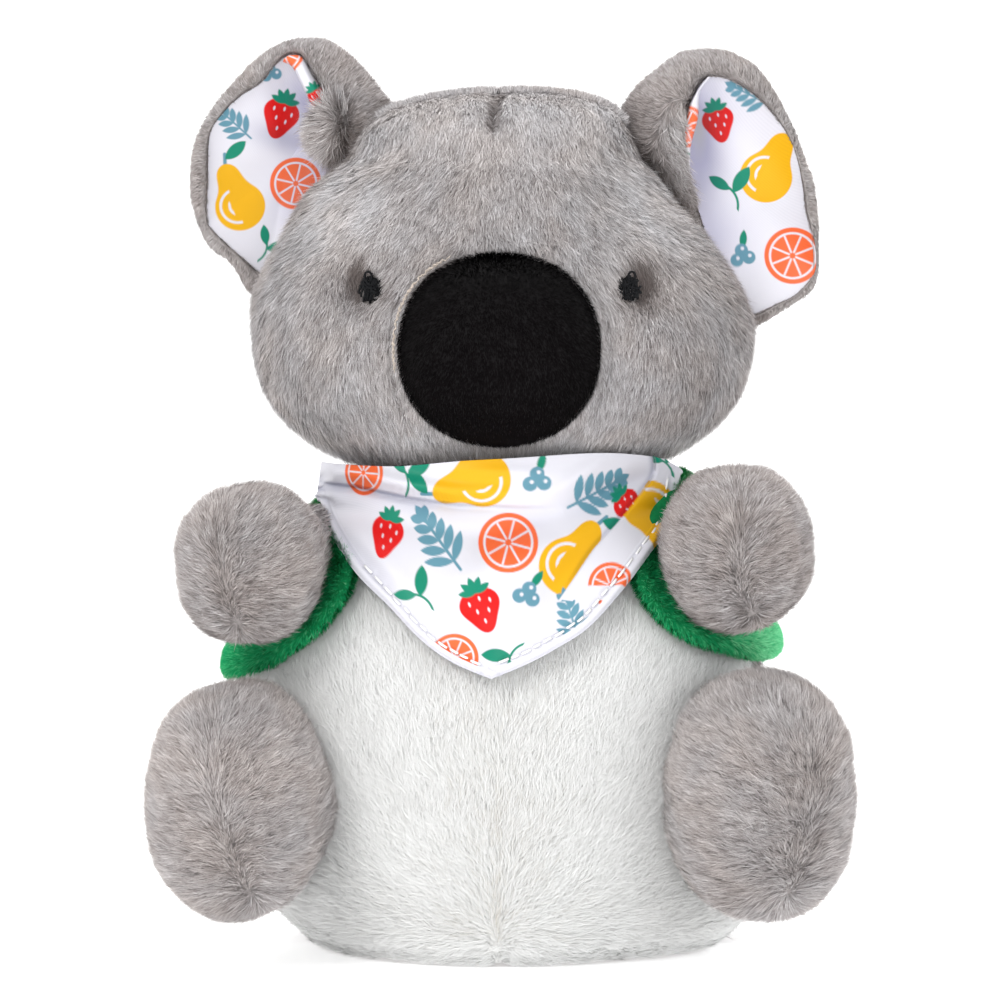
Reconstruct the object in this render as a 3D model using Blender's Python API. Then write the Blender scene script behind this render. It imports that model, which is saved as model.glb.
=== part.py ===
"""Plush koala with a bandana and a small pack, sitting.

Left and right are the animal's own: its left side is +X.  It faces -Y and
sits on the plane z = 0.  All driving sizes below are in millimetres.
"""
import math

import bmesh
import bpy
from mathutils import Vector

MM = 0.001

# ---------------------------------------------------------------- sizes (mm)
Y_MID = 0.0                    # the model is moved by this to centre its depth

SKIN = 1.5                     # plush backing plus pressed pile
SEAM = 0.5                     # gap left at each sewn seam
FILL_GAP = 2.6                 # skin face to stuffing face

HEAD_C = (0.0, -5.0, 160.0)
HEAD_HALF_WIDTH = 62.6
HEAD_DEPTH_FRONT, HEAD_DEPTH_BACK = 47.0, 47.0
HEAD_UP, HEAD_DOWN = 52.6, 42.0

NOSE_C = (-0.2, 149.6)         # x, z
NOSE_HALF_WIDTH, NOSE_HALF_HEIGHT, NOSE_DEPTH = 24.0, 23.2, 17.0
EYE_X, EYE_Z = 31.1, 165.0
EYE_HALF_WIDTH, EYE_HALF_HEIGHT, EYE_DEPTH = 2.6, 3.6, 1.3

TORSO_C = (0.0, -1.0, 60.0)
TORSO_HALF_WIDTH = 66.0
TORSO_DEPTH_FRONT, TORSO_DEPTH_BACK = 57.0, 54.0
TORSO_UP, TORSO_DOWN = 56.0, 70.0
BELLY_HALF_ANGLE = 74.0        # the white panel's half angle round the torso
NECK_HOLE_ANGLE = 21.0
BASE_ANGLE = 128.0
PELLET_TOP = 22.0

ARM_L_C = (56.6, -48.0, 100.6)
ARM_R_C = (-58.4, -48.0, 99.4)
ARM_HALF = (18.8, 24.0, 20.0)
ARM_CLEAR = 5.4
LEG_C_X, LEG_C_Y, LEG_C_Z = 61.9, -52.5, 43.8
LEG_HALF = (22.2, 25.0, 30.6)
LEG_CLEAR = 2.6

NECK_PIVOT = (0.0, 0.0, 117.0)
SHOULDER_L, SHOULDER_R = (50.0, -20.0, 100.6), (-50.0, -20.0, 99.4)
HIP_L, HIP_R = (52.0, -1.0, 60.0), (-52.0, -1.0, 60.0)
EAR_L_PIVOT, EAR_R_PIVOT = (48.0, 3.0, 184.5), (-46.5, 3.0, 188.5)

EAR_FRONT, EAR_MID, EAR_BACK = -3.0, 3.0, 9.0      # y of rim, edge and back
EAR_R_OUTLINE = [(-27.5, 209.5), (-33.5, 217.0), (-42.0, 224.6), (-50.0, 226.0),
                 (-60.0, 221.5), (-68.5, 212.5), (-74.7, 202.0), (-76.8, 190.5),
                 (-74.8, 179.5), (-70.6, 171.5), (-66.3, 167.4), (-62.8, 172.0),
                 (-58.6, 179.0), (-53.2, 186.2), (-46.3, 193.4), (-37.5, 200.6)]
EAR_L_OUTLINE = [(31.0, 208.0), (36.5, 215.5), (45.5, 222.0), (55.5, 223.2),
                 (63.5, 219.0), (70.5, 209.0), (76.0, 197.0), (78.8, 184.0),
                 (79.2, 171.0), (76.8, 162.5), (71.5, 157.8), (66.8, 157.6),
                 (63.4, 168.0), (58.4, 179.4), (50.8, 189.4), (41.0, 199.0)]

CLOTH = 0.8
BANDANA_OFF = 5.4              # torso face to the cloth
BANDANA_HALF_WIDTH, BANDANA_TOP, BANDANA_TIP = 37.2, 117.0, 71.9
NECKBAND_X, NECKBAND_Y = 42.6, 40.0
NECKBAND_Z0, NECKBAND_Z1 = 111.6, 116.4

STRAP_WIDTH, STRAP_THICK, STRAP_OFF = 8.4, 3.2, 2.7
PACK_Z, PACK_HALF_WIDTH, PACK_HALF_HEIGHT, PACK_BACK = 71.0, 31.0, 30.0, 74.3


# ------------------------------------------------------------ shape functions
class Blob:
    """A stuffed form: level sections of one roundness, and its own profile up and down."""

    def __init__(self, c, x, yf, yb, zu, zd, pu=2.0, pd=2.0, ph=2.0):
        self.c, self.x, self.yf, self.yb = c, x, yf, yb
        self.zu, self.zd, self.pu, self.pd, self.ph = zu, zd, pu, pd, ph

    def value(self, x, y, z, off):
        x, y, z = x - self.c[0], y - self.c[1], z - self.c[2]
        q = z / ((self.zu if z > 0 else self.zd) + off)
        t = min(max((q + 0.35) / 0.7, 0.0), 1.0)
        p = self.pd + (self.pu - self.pd) * t * t * (3 - 2 * t)
        ry = (self.yf if y < 0 else self.yb) + off
        level = ((abs(x) / (self.x + off)) ** self.ph + (abs(y) / ry) ** self.ph)
        return level ** (p / self.ph) + abs(q) ** p

    def hit(self, d, off=0.0):
        lo, hi = 0.0, 160.0
        for _ in range(40):
            m = 0.5 * (lo + hi)
            if self.value(self.c[0] + d[0] * m, self.c[1] + d[1] * m,
                          self.c[2] + d[2] * m, off) < 1.0:
                lo = m
            else:
                hi = m
        return Vector((self.c[0] + d[0] * lo, self.c[1] + d[1] * lo,
                       self.c[2] + d[2] * lo))

    def face(self, x, z, off=0.0, side=-1):
        """y of the front (side -1) or back (side 1) face over x, z, or None."""
        if self.value(x, self.c[1], z, off) >= 1.0:
            return None
        lo, hi = 0.0, 160.0
        for _ in range(40):
            m = 0.5 * (lo + hi)
            if self.value(x, self.c[1] + side * m, z, off) < 1.0:
                lo = m
            else:
                hi = m
        return self.c[1] + side * lo


HEAD = Blob(HEAD_C, HEAD_HALF_WIDTH, HEAD_DEPTH_FRONT, HEAD_DEPTH_BACK,
            HEAD_UP, HEAD_DOWN, 1.64, 2.6, 2.15)
TORSO = Blob(TORSO_C, TORSO_HALF_WIDTH, TORSO_DEPTH_FRONT, TORSO_DEPTH_BACK,
             TORSO_UP, TORSO_DOWN, 2.3, 2.3, 2.3)


def limb(c, half):
    return Blob(c, half[0], half[1], half[1], half[2], half[2], 2.2, 2.2, 2.2)


def torso_point(d, off):
    p = TORSO.hit(d, off)
    p.z = max(p.z, -off)               # flat underneath
    return p


def bandana_y(x, z, off):
    """Front face of the cloth: over the chest, and round the neck above it."""
    chest = TORSO.face(x, z, off)
    s = off - BANDANA_OFF
    neck = -1.0 - (NECKBAND_Y + s) * math.sqrt(max(0.0, 1 - (x / (NECKBAND_X + s)) ** 2))
    return neck if chest is None else min(chest, neck)


def smooth_closed(points, n):
    """n points on a closed Catmull-Rom curve through the given ones."""
    k, out = len(points), []
    for i in range(n):
        t = i * k / n
        j, f = int(t), t - int(t)
        a, b, c, d = (points[(j + m - 1) % k] for m in range(4))
        out.append(tuple(0.5 * ((2 * b[m]) + (c[m] - a[m]) * f
                                + (2 * a[m] - 5 * b[m] + 4 * c[m] - d[m]) * f * f
                                + (3 * b[m] - a[m] - 3 * c[m] + d[m]) * f ** 3)
                         for m in range(len(b))))
    return out


def smooth_open(points, n):
    pts = [points[0]] + list(points) + [points[-1]]
    out = []
    for i in range(n):
        t = i * (len(points) - 1) / (n - 1)
        j = min(int(t), len(points) - 2)
        f = t - j
        a, b, c, d = pts[j:j + 4]
        out.append(Vector([0.5 * ((2 * b[m]) + (c[m] - a[m]) * f
                                  + (2 * a[m] - 5 * b[m] + 4 * c[m] - d[m]) * f * f
                                  + (3 * b[m] - a[m] - 3 * c[m] + d[m]) * f ** 3)
                           for m in range(3)]))
    return out


# --------------------------------------------------------------- scene set-up
for old in list(bpy.data.objects):
    bpy.data.objects.remove(old, do_unlink=True)

MATERIALS = {
    "grey_plush": ((0.40, 0.36, 0.345, 1), 0.9),
    "white_plush": ((0.84, 0.84, 0.82, 1), 0.9),
    "black_velour": ((0.010, 0.009, 0.009, 1), 0.85),
    "black_thread": ((0.012, 0.012, 0.014, 1), 0.6),
    "printed_satin": ((0.84, 0.84, 0.90, 1), 0.4),
    "white_thread": ((0.85, 0.85, 0.86, 1), 0.6),
    "green_plush": ((0.004, 0.26, 0.052, 1), 0.9),
    "fibre_fill": ((0.86, 0.86, 0.85, 1), 0.95),
    "pellet_cotton": ((0.74, 0.71, 0.64, 1), 0.9),
}
for mat_name, (colour, rough) in MATERIALS.items():
    mat = bpy.data.materials.get(mat_name) or bpy.data.materials.new(mat_name)
    mat.use_nodes = True
    shader = mat.node_tree.nodes["Principled BSDF"]
    shader.inputs["Base Color"].default_value = colour
    shader.inputs["Roughness"].default_value = rough
    shader.inputs["Metallic"].default_value = 0.0

PIVOTS = {
    "torso": ((0.0, 0.0, 0.0), None),
    "neck": (NECK_PIVOT, "torso"),
    "head": (NECK_PIVOT, "neck"),
    "ear_left": (EAR_L_PIVOT, "head"),
    "ear_right": (EAR_R_PIVOT, "head"),
    "arm_left": (SHOULDER_L, "torso"),
    "arm_right": (SHOULDER_R, "torso"),
    "leg_left": (HIP_L, "torso"),
    "leg_right": (HIP_R, "torso"),
}
EMPTIES = {}
for body, (pivot, parent) in PIVOTS.items():
    e = bpy.data.objects.new(body + "_pivot", None)
    bpy.context.collection.objects.link(e)
    base = PIVOTS[parent][0] if parent else (0.0, Y_MID, 0.0)
    e.location = [(pivot[i] - base[i]) * MM for i in range(3)]
    if parent:
        e.parent = EMPTIES[parent]
    else:
        e.location = (0.0, -Y_MID * MM, 0.0)
    EMPTIES[body] = e


def put(name, bm, body, material, smooth=True):
    """Turn a bmesh in millimetres into one named object on its body's pivot."""
    bmesh.ops.recalc_face_normals(bm, faces=bm.faces)
    if bm.calc_volume(signed=True) < 0:
        bmesh.ops.reverse_faces(bm, faces=bm.faces)
    pivot = PIVOTS[body][0]
    for v in bm.verts:
        v.co = Vector([(v.co[i] - pivot[i]) * MM for i in range(3)])
    me = bpy.data.meshes.new(name)
    bm.to_mesh(me)
    bm.free()
    if smooth:
        me.shade_smooth()
        me.set_sharp_from_angle(angle=math.radians(50))
    me.materials.append(bpy.data.materials[material])
    ob = bpy.data.objects.new(name, me)
    bpy.context.collection.objects.link(ob)
    ob.parent = EMPTIES[body]
    return ob


def sheet_solid(bm, outer, inner):
    """Close an open sheet: map it by outer, copy it by inner, wall the edge."""
    verts, faces = list(bm.verts), list(bm.faces)
    rim = [e for e in bm.edges if len(e.link_faces) == 1]
    twin = {v: bm.verts.new(v.co) for v in verts}
    for f in faces:
        bm.faces.new([twin[v] for v in reversed(f.verts)])
    for e in rim:
        a, b = e.verts
        bm.faces.new((a, b, twin[b], twin[a]))
    for v in verts:
        raw = v.co.copy()
        v.co = outer(raw)
        twin[v].co = inner(raw)


def sphere_part(u, v, keep, axis="Y"):
    """A unit sphere, its poles on the given axis, cut back to keep(co)."""
    bm = bmesh.new()
    bmesh.ops.create_uvsphere(bm, u_segments=u, v_segments=v, radius=1.0)
    for w in bm.verts:
        x, y, z = w.co
        w.co = Vector((x, z, -y)) if axis == "Y" else Vector((x, y, z))
    drop = [f for f in bm.faces if not keep(f.calc_center_median())]
    bmesh.ops.delete(bm, geom=drop, context="FACES")
    bmesh.ops.delete(bm, geom=[w for w in bm.verts if not w.link_faces], context="VERTS")
    return bm


def grid_part(nu, nv):
    """A sheet over 0..1 by 0..1."""
    bm = bmesh.new()
    bmesh.ops.create_grid(bm, x_segments=nu, y_segments=nv, size=0.5)
    for w in bm.verts:
        w.co = Vector((w.co.x + 0.5, w.co.y + 0.5, 0.0))
    return bm


def disc_part(n, rings):
    """A unit disc of n spokes: angle in turns and radius come from its points."""
    bm = bmesh.new()
    centre = bm.verts.new((0, 0, 0))
    last = None
    for r in range(1, rings + 1):
        rad = r / rings
        ring = [bm.verts.new((rad * math.cos(2 * math.pi * i / n),
                              rad * math.sin(2 * math.pi * i / n), 0)) for i in range(n)]
        for i in range(n):
            j = (i + 1) % n
            if last is None:
                bm.faces.new((centre, ring[i], ring[j]))
            else:
                bm.faces.new((last[i], ring[i], ring[j], last[j]))
        last = ring
    return bm


def tube_part(path, section):
    """Bridge rings of section(i) points along a path, with both ends capped."""
    bm = bmesh.new()
    rings = [[bm.verts.new(p) for p in section(i)] for i in range(len(path))]
    k = len(rings[0])
    for a, b in zip(rings, rings[1:]):
        for i in range(k):
            j = (i + 1) % k
            bm.faces.new((a[i], a[j], b[j], b[i]))
    bm.faces.new(list(reversed(rings[0])))
    bm.faces.new(rings[-1])
    return bm


# ----------------------------------------------------------------------- head
def shifted(fn, dx=0.0, dy=0.0):
    return lambda d: fn(d) + Vector((dx, dy, 0.0))


def head_at(off):
    return lambda d: HEAD.hit(d.normalized(), off)


HALF = SEAM / 2
bm = sphere_part(24, 14, lambda c: c.y < 0)
sheet_solid(bm, shifted(head_at(0), dy=-HALF), shifted(head_at(-SKIN), dy=-HALF))
put("face_panel", bm, "head", "grey_plush")
for side, name in ((1, "head_back_left"), (-1, "head_back_right")):
    bm = sphere_part(24, 14, lambda c, s=side: c.y > 0 and c.x * s > 0)
    sheet_solid(bm, shifted(head_at(0), side * HALF, HALF),
                shifted(head_at(-SKIN), side * HALF, HALF))
    put(name, bm, "head", "grey_plush")
bm = sphere_part(20, 10, lambda c: True)
for w in bm.verts:
    w.co = HEAD.hit(w.co.normalized(), -FILL_GAP)
put("head_stuffing", bm, "head", "fibre_fill")


def nose_at(rise, shrink):
    """A full dome on the face; rise lifts it off the face, shrink draws it in."""
    def at(q):
        r = min(1.0, math.hypot(q.x, q.y))
        box = (abs(q.x) ** 2.5 + abs(q.y) ** 2.5) ** 0.4
        k = r / box if box > 1e-6 else 1.0
        x = NOSE_C[0] + q.x * k * (NOSE_HALF_WIDTH - shrink)
        z = NOSE_C[1] + q.y * k * (NOSE_HALF_HEIGHT - shrink)
        y = HEAD.face(x, z)
        return Vector((x, y - 0.6 - rise * (1 - r ** 2.6) ** 0.5, z))
    return at


bm = disc_part(20, 5)
sheet_solid(bm, nose_at(NOSE_DEPTH, 0.0), nose_at(NOSE_DEPTH - 1.4, 1.6))
put("nose_cover", bm, "head", "black_velour")
bm = disc_part(16, 3)
sheet_solid(bm, lambda q: nose_at(NOSE_DEPTH - 4.6, 3.4)(q) + Vector((0, -1.4, 0)),
            nose_at(0, 3.4))
put("nose_stuffing", bm, "head", "fibre_fill")

for side, name in ((1, "eye_left"), (-1, "eye_right")):
    def eye_at(rise, s=side):
        def at(q):
            x = s * EYE_X + q.x * EYE_HALF_WIDTH
            z = EYE_Z + q.y * EYE_HALF_HEIGHT
            return Vector((x, HEAD.face(x, z) - 0.6 - rise * (1 - q.x ** 2 - q.y ** 2 + 0.2), z))
        return at
    bm = disc_part(10, 2)
    sheet_solid(bm, eye_at(EYE_DEPTH), eye_at(0))
    put(name, bm, "head", "black_thread")


# ----------------------------------------------------------------------- ears
def ear(prefix, outline, centre):
    n = 26
    edge = smooth_closed(outline, n)

    def at(q, inset, y):
        r = math.hypot(q.x, q.y)
        i = int(round(math.atan2(q.y, q.x) / (2 * math.pi) * n)) % n
        ex, ez = edge[i]
        d = math.hypot(ex - centre[0], ez - centre[1])
        k = r * (d - inset) / d if r > 1e-6 else 0.0
        return Vector((centre[0] + (ex - centre[0]) * k, y,
                       centre[1] + (ez - centre[1]) * k))

    def back_y(r, off):
        return EAR_MID + (EAR_BACK - EAR_MID - off) * (1 - r ** 2.4) ** 0.5

    # the plush back is a cup whose rim turns forward round the lining
    bm = disc_part(n, 5)

    def cup_outer(q):
        r = math.hypot(q.x, q.y)
        if r > 0.99:
            return at(q, 1.2, EAR_FRONT)
        if r > 0.79:
            return at(Vector((q.x / r, q.y / r, 0)), 0.0, EAR_MID)
        return at(q / 0.8 * 0.97, 0.0, back_y(r / 0.8, 0.0))

    def cup_inner(q):
        r = math.hypot(q.x, q.y)
        if r > 0.99:
            return at(q, 2.6, EAR_FRONT)
        if r > 0.79:
            return at(Vector((q.x / r, q.y / r, 0)), 1.8, EAR_MID)
        return at(q / 0.8 * 0.97, 1.8, back_y(r / 0.8, 1.7))

    sheet_solid(bm, cup_outer, cup_inner)
    put(prefix + "_back_panel", bm, prefix, "grey_plush")

    bm = disc_part(n, 3)
    sheet_solid(bm, lambda q: at(q, 3.4, EAR_FRONT + 0.6 + 0.6 * math.hypot(q.x, q.y)),
                lambda q: at(q, 3.4, EAR_FRONT + 1.8 + 0.6 * math.hypot(q.x, q.y)))
    put(prefix + "_lining", bm, prefix, "printed_satin")

    bm = disc_part(n, 3)
    sheet_solid(bm, lambda q: at(q, 4.2, EAR_FRONT + 3.6),
                lambda q: at(q, 4.2, EAR_FRONT + 4.6
                             + 4.2 * (1 - math.hypot(q.x, q.y) ** 2.4)))
    put(prefix + "_wadding", bm, prefix, "fibre_fill")


ear("ear_left", EAR_L_OUTLINE, (63.5, 196.0))
ear("ear_right", EAR_R_OUTLINE, (-60.5, 198.5))

# ---------------------------------------------------------------------- torso
bm = sphere_part(12, 6, lambda c: True, "Z")
for w in bm.verts:
    w.co = Vector((w.co.x * 12.5, w.co.y * 12.5, 111.5 + w.co.z * 5.8))
put("neck_stuffing", bm, "neck", "fibre_fill")


def torso_at(phi0, phi1, off):
    """Sheet point to torso: u round from phi0 to phi1, v down from the neck."""
    def at(q):
        phi = math.radians(phi0 + (phi1 - phi0) * q.x)
        th = math.radians(NECK_HOLE_ANGLE + (BASE_ANGLE - NECK_HOLE_ANGLE) * q.y)
        return torso_point(Vector((math.sin(th) * math.sin(phi),
                                   -math.sin(th) * math.cos(phi), math.cos(th))), off)
    return at


GAP_ANGLE = 0.35
for name, p0, p1, nu, mat_name in (
        ("belly_panel", -BELLY_HALF_ANGLE, BELLY_HALF_ANGLE, 12, "white_plush"),
        ("back_panel_left", BELLY_HALF_ANGLE, 180.0, 8, "grey_plush"),
        ("back_panel_right", -180.0, -BELLY_HALF_ANGLE, 8, "grey_plush")):
    bm = grid_part(nu, 10)
    sheet_solid(bm, torso_at(p0 + GAP_ANGLE, p1 - GAP_ANGLE, 0.0),
                torso_at(p0 + GAP_ANGLE, p1 - GAP_ANGLE, -SKIN))
    put(name, bm, "torso", mat_name)


def base_at(off):
    def at(q):
        r = math.hypot(q.x, q.y)
        th = math.radians(180.0 - (180.0 - BASE_ANGLE - 0.6) * r)
        phi = math.atan2(q.x, -q.y)
        return torso_point(Vector((math.sin(th) * math.sin(phi),
                                   -math.sin(th) * math.cos(phi), math.cos(th))), off)
    return at


bm = disc_part(24, 5)
sheet_solid(bm, base_at(0.0), base_at(-SKIN))
put("base_panel", bm, "torso", "grey_plush")


def fill_between(lo, hi):
    bm = sphere_part(20, 10, lambda c: True, "Z")
    for w in bm.verts:
        p = TORSO.hit(w.co.normalized(), -FILL_GAP)
        w.co = Vector((p.x, p.y, min(max(p.z, lo), hi)))
    return bm


put("torso_stuffing", fill_between(PELLET_TOP + 1.5, 104.5), "torso", "fibre_fill")
bm = sphere_part(16, 6, lambda c: True, "Z")
for w in bm.verts:
    w.co = Vector((w.co.x * 40.0, TORSO_C[1] + w.co.y * 36.0,
                   12.4 + w.co.z * (PELLET_TOP - 12.4)))
put("pellet_bag", bm, "torso", "pellet_cotton")


# ---------------------------------------------------------------------- limbs
def limb_pieces(prefix, c, half, clear, nu, nv):
    form = limb(c, half)

    def at(off):
        def fn(d):
            p = form.hit(d.normalized(), off)
            # the back is hollowed to lie along the torso
            y = TORSO.face(p.x, p.z, clear - off)
            if y is not None and p.y > c[1]:
                front = 2 * c[1] - p.y
                p.y = min(p.y, max(y, front + 0.2 * (p.y - front)))
            return p
        return fn

    out = 1 if c[0] > 0 else -1
    for name, s in (("outer_panel", out), ("inner_panel", -out)):
        bm = sphere_part(nu, nv, lambda q, s=s: q.x * s > 0)
        sheet_solid(bm, shifted(at(0.0), s * HALF), shifted(at(-SKIN), s * HALF))
        put(prefix + "_" + name, bm, prefix, "grey_plush")
    bm = sphere_part(nu, nv, lambda q: True)
    for w in bm.verts:
        w.co = at(-FILL_GAP - 0.8)(w.co)
    put(prefix + "_stuffing", bm, prefix, "fibre_fill")


limb_pieces("arm_left", ARM_L_C, ARM_HALF, ARM_CLEAR, 12, 8)
limb_pieces("arm_right", ARM_R_C, ARM_HALF, ARM_CLEAR, 12, 8)
limb_pieces("leg_left", (LEG_C_X, LEG_C_Y, LEG_C_Z), LEG_HALF, LEG_CLEAR, 16, 8)
limb_pieces("leg_right", (-LEG_C_X, LEG_C_Y, LEG_C_Z), LEG_HALF, LEG_CLEAR, 16, 8)


# -------------------------------------------------------------------- bandana
def bandana_at(off):
    def at(q):
        v = q.y * 0.965
        x = (2 * q.x - 1) * BANDANA_HALF_WIDTH * (1 - v) - 1.2 * v
        z = BANDANA_TOP + (BANDANA_TIP - BANDANA_TOP) * v - 2.0 * (1 - v) * (2 * q.x - 1) ** 2
        return Vector((x, bandana_y(x, z, off), z))
    return at


bm = grid_part(12, 8)
sheet_solid(bm, bandana_at(BANDANA_OFF + CLOTH), bandana_at(BANDANA_OFF))
put("bandana_cloth", bm, "torso", "printed_satin")

# the running stitch along the two free edges, as one thread
N = 27
thread = []
for i in range(N):
    t = i / (N - 1)
    u, v = (0.055 + 0.445 * t * 2, 0.03 + 0.90 * t * 2) if t <= 0.5 else \
        (0.5 + 0.445 * (2 * t - 1), 0.93 - 0.90 * (2 * t - 1))
    thread.append(bandana_at(BANDANA_OFF + CLOTH + 1.6)(Vector((u, v, 0))))


def thread_section(i):
    t = (thread[min(i + 1, N - 1)] - thread[max(i - 1, 0)]).normalized()
    out = Vector((0, -1, 0))
    side = t.cross(out).normalized()
    return [thread[i] + 0.4 * a * side + 0.4 * b * out for a, b in ((-1, 0), (0, -1), (1, 0), (0, 1))]


bm = tube_part(thread, thread_section)
put("bandana_hem_thread", bm, "torso", "white_thread")

# the band goes on round the neck from corner to corner, behind the head
START = math.asin(BANDANA_HALF_WIDTH / NECKBAND_X) + 0.05
ring = [START + (2 * math.pi - 2 * START) * i / 24 for i in range(25)]


def band_section(i):
    s, c = math.sin(ring[i]), -math.cos(ring[i])
    return [Vector((s * (NECKBAND_X + k), -1.0 + c * (NECKBAND_Y + k), z))
            for k, z in ((0, NECKBAND_Z0), (1.6, NECKBAND_Z0 + 0.6),
                         (1.6, NECKBAND_Z1 - 0.6), (0, NECKBAND_Z1))]


put("bandana_neckband", tube_part(ring, band_section), "torso", "printed_satin")
bm = sphere_part(12, 8, lambda c: True, "Z")
for w in bm.verts:
    w.co = Vector((w.co.x * 7.0, NECKBAND_Y + 5.6 + w.co.y * 4.0, 112.5 + w.co.z * 4.6))
put("bandana_knot", bm, "torso", "printed_satin")

# --------------------------------------------------------------------- straps
STRAP_ROUTE = [(24, 44, 100), (34, 33, 104), (43, 20, 106), (45.5, 6, 106), (41.5, -8, 105),
               (36, -22, 102), (33.5, -33, 98), (33.5, -41, 93), (37, -44, 87), (43, -41, 81.5),
               (51, -33, 76.5), (60, -20, 73.5), (66, -4, 72.5), (64, 16, 72), (55, 32, 71),
               (44.0, 42, 70), (38, 47, 69.5), (31.2, 50.4, 69)]


def strap(name, side):
    n = 30
    guide = smooth_open(STRAP_ROUTE, n)
    centre = Vector(TORSO_C)
    mid = [torso_point((p - centre).normalized(), STRAP_OFF) for p in guide]

    def section(i):
        t = (mid[min(i + 1, n - 1)] - mid[max(i - 1, 0)]).normalized()
        d = (guide[i] - centre).normalized()
        out = (torso_point(d, STRAP_OFF + 1) - torso_point(d, STRAP_OFF)).normalized()
        eps = 1.0
        a = torso_point((guide[i] + t.cross(out) * eps - centre).normalized(), STRAP_OFF)
        b = torso_point((guide[i] - t.cross(out) * eps - centre).normalized(), STRAP_OFF)
        across = (a - b).normalized()
        nrm = across.cross(t).normalized()
        if nrm.dot(out) < 0:
            nrm = -nrm
        w, h = STRAP_WIDTH / 2, STRAP_THICK / 2
        pts = [mid[i] + across * (w * u) + nrm * (h * v)
               for u, v in ((-1, -0.25), (-0.55, -1), (0.55, -1), (1, -0.25), (0.6, 1), (-0.6, 1))]
        return [Vector((side * p.x, p.y, p.z)) for p in pts]

    put(name, tube_part(mid, section), "torso", "green_plush")


strap("strap_left", 1)
strap("strap_right", -1)


# ----------------------------------------------------------------------- pack
def pack_xz(q, inset=0.0):
    r = math.hypot(q.x, q.y)
    box = (abs(q.x) ** 3 + abs(q.y) ** 3) ** (1 / 3)
    k = r / box if box > 1e-6 else 1.0
    return (q.x * k * (PACK_HALF_WIDTH - inset), PACK_Z + q.y * k * (PACK_HALF_HEIGHT - inset), r)


def pack_flat(gap, inset):
    def at(q):
        x, z, r = pack_xz(q, inset)
        return Vector((x, TORSO.face(x, z, 0.0, 1) + gap, z))
    return at


def pack_dome(rim_gap, inset, off):
    def at(q):
        x, z, r = pack_xz(q, inset)
        rim = TORSO.face(x, z, 0.0, 1) + rim_gap
        top = PACK_BACK - off - 0.0016 * (x * x + (z - PACK_Z) ** 2)
        return Vector((x, rim + max(top - rim, 0.0) * max(0.0, 1 - r ** 3.4) ** 0.5, z))
    return at


bm = disc_part(24, 3)
sheet_solid(bm, pack_flat(1.0, 1.0), pack_flat(2.2, 1.0))
put("pack_back_panel", bm, "torso", "green_plush")
bm = disc_part(24, 5)
sheet_solid(bm, pack_dome(2.9, 0.0, 0.0), pack_dome(2.9, 1.6, 1.5))
put("pack_front_panel", bm, "torso", "green_plush")
bm = disc_part(20, 3)
sheet_solid(bm, pack_flat(3.6, 4.6), pack_dome(4.4, 4.6, 3.0))
put("pack_stuffing", bm, "torso", "fibre_fill")


def flap_at(off):
    def at(q):
        u, v = 2 * q.x - 1, q.y
        z = PACK_Z + 23.0 - 21.0 * v - 7.0 * (1 - u * u) * v
        x = u * (22.0 - 2.0 * v)
        r = (abs(x / PACK_HALF_WIDTH) ** 3 + abs((z - PACK_Z) / PACK_HALF_HEIGHT) ** 3) ** (1 / 3)
        rim = TORSO.face(x, z, 0.0, 1) + 2.9
        top = PACK_BACK - 0.0016 * (x * x + (z - PACK_Z) ** 2)
        y = rim + (top - rim) * max(0.0, 1 - r ** 3.4) ** 0.5
        # the panel is faceted, so the flap stands a little proud of it
        return Vector((x, y + off, z))
    return at


bm = grid_part(8, 6)
sheet_solid(bm, flap_at(3.2), flap_at(1.6))
put("pack_flap", bm, "torso", "green_plush")
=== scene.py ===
"""Looks of a sitting plush koala: pile, printed satin, embroidery, straps and pack.

Lengths are in millimetres until a mesh is made.  Left and right are the
animal's own (its left is +X).  It faces -Y.
"""
import math

import bpy
import numpy as np
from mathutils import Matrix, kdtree


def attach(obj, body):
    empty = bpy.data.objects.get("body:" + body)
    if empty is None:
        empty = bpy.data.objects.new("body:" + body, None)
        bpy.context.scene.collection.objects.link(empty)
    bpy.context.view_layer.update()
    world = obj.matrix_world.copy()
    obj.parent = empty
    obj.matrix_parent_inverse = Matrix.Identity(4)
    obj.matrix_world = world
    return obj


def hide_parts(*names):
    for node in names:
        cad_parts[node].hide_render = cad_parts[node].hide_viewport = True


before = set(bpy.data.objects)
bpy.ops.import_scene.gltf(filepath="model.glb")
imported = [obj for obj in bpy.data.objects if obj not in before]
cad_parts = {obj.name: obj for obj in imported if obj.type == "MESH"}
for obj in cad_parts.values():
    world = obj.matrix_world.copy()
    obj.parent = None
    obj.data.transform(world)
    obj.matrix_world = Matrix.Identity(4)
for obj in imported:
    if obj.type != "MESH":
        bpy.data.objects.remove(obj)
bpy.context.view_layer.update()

THIN = 1.0
MM = 0.001

# ------------------------------------------------------------------ camera
CAM_D, CAM_EL, CAM_Z, PX = 1200.0, math.radians(3.0), 111.0, 0.25
CAM = np.array([0.0, -CAM_D * math.cos(CAM_EL), CAM_Z + CAM_D * math.sin(CAM_EL)])
CAM_F = np.array([0.0, math.cos(CAM_EL), -math.sin(CAM_EL)])
CAM_U = np.array([0.0, math.sin(CAM_EL), math.cos(CAM_EL)])


def at(px, py, y):
    """x, z in mm of the view's point (px, py), of 1000 by 1000, on the plane y."""
    k = CAM_D / PX
    a, b = (px - 500.0) / k, (500.0 - py) / k
    dy, dz = CAM_F[1] + b * CAM_U[1], CAM_F[2] + b * CAM_U[2]
    t = (y - CAM[1]) / dy
    return t * a, CAM[2] + t * dz


# ------------------------------------------------------------- small maths
def unit(v):
    return v / np.maximum(np.linalg.norm(v, axis=-1, keepdims=True), 1e-9)


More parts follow.
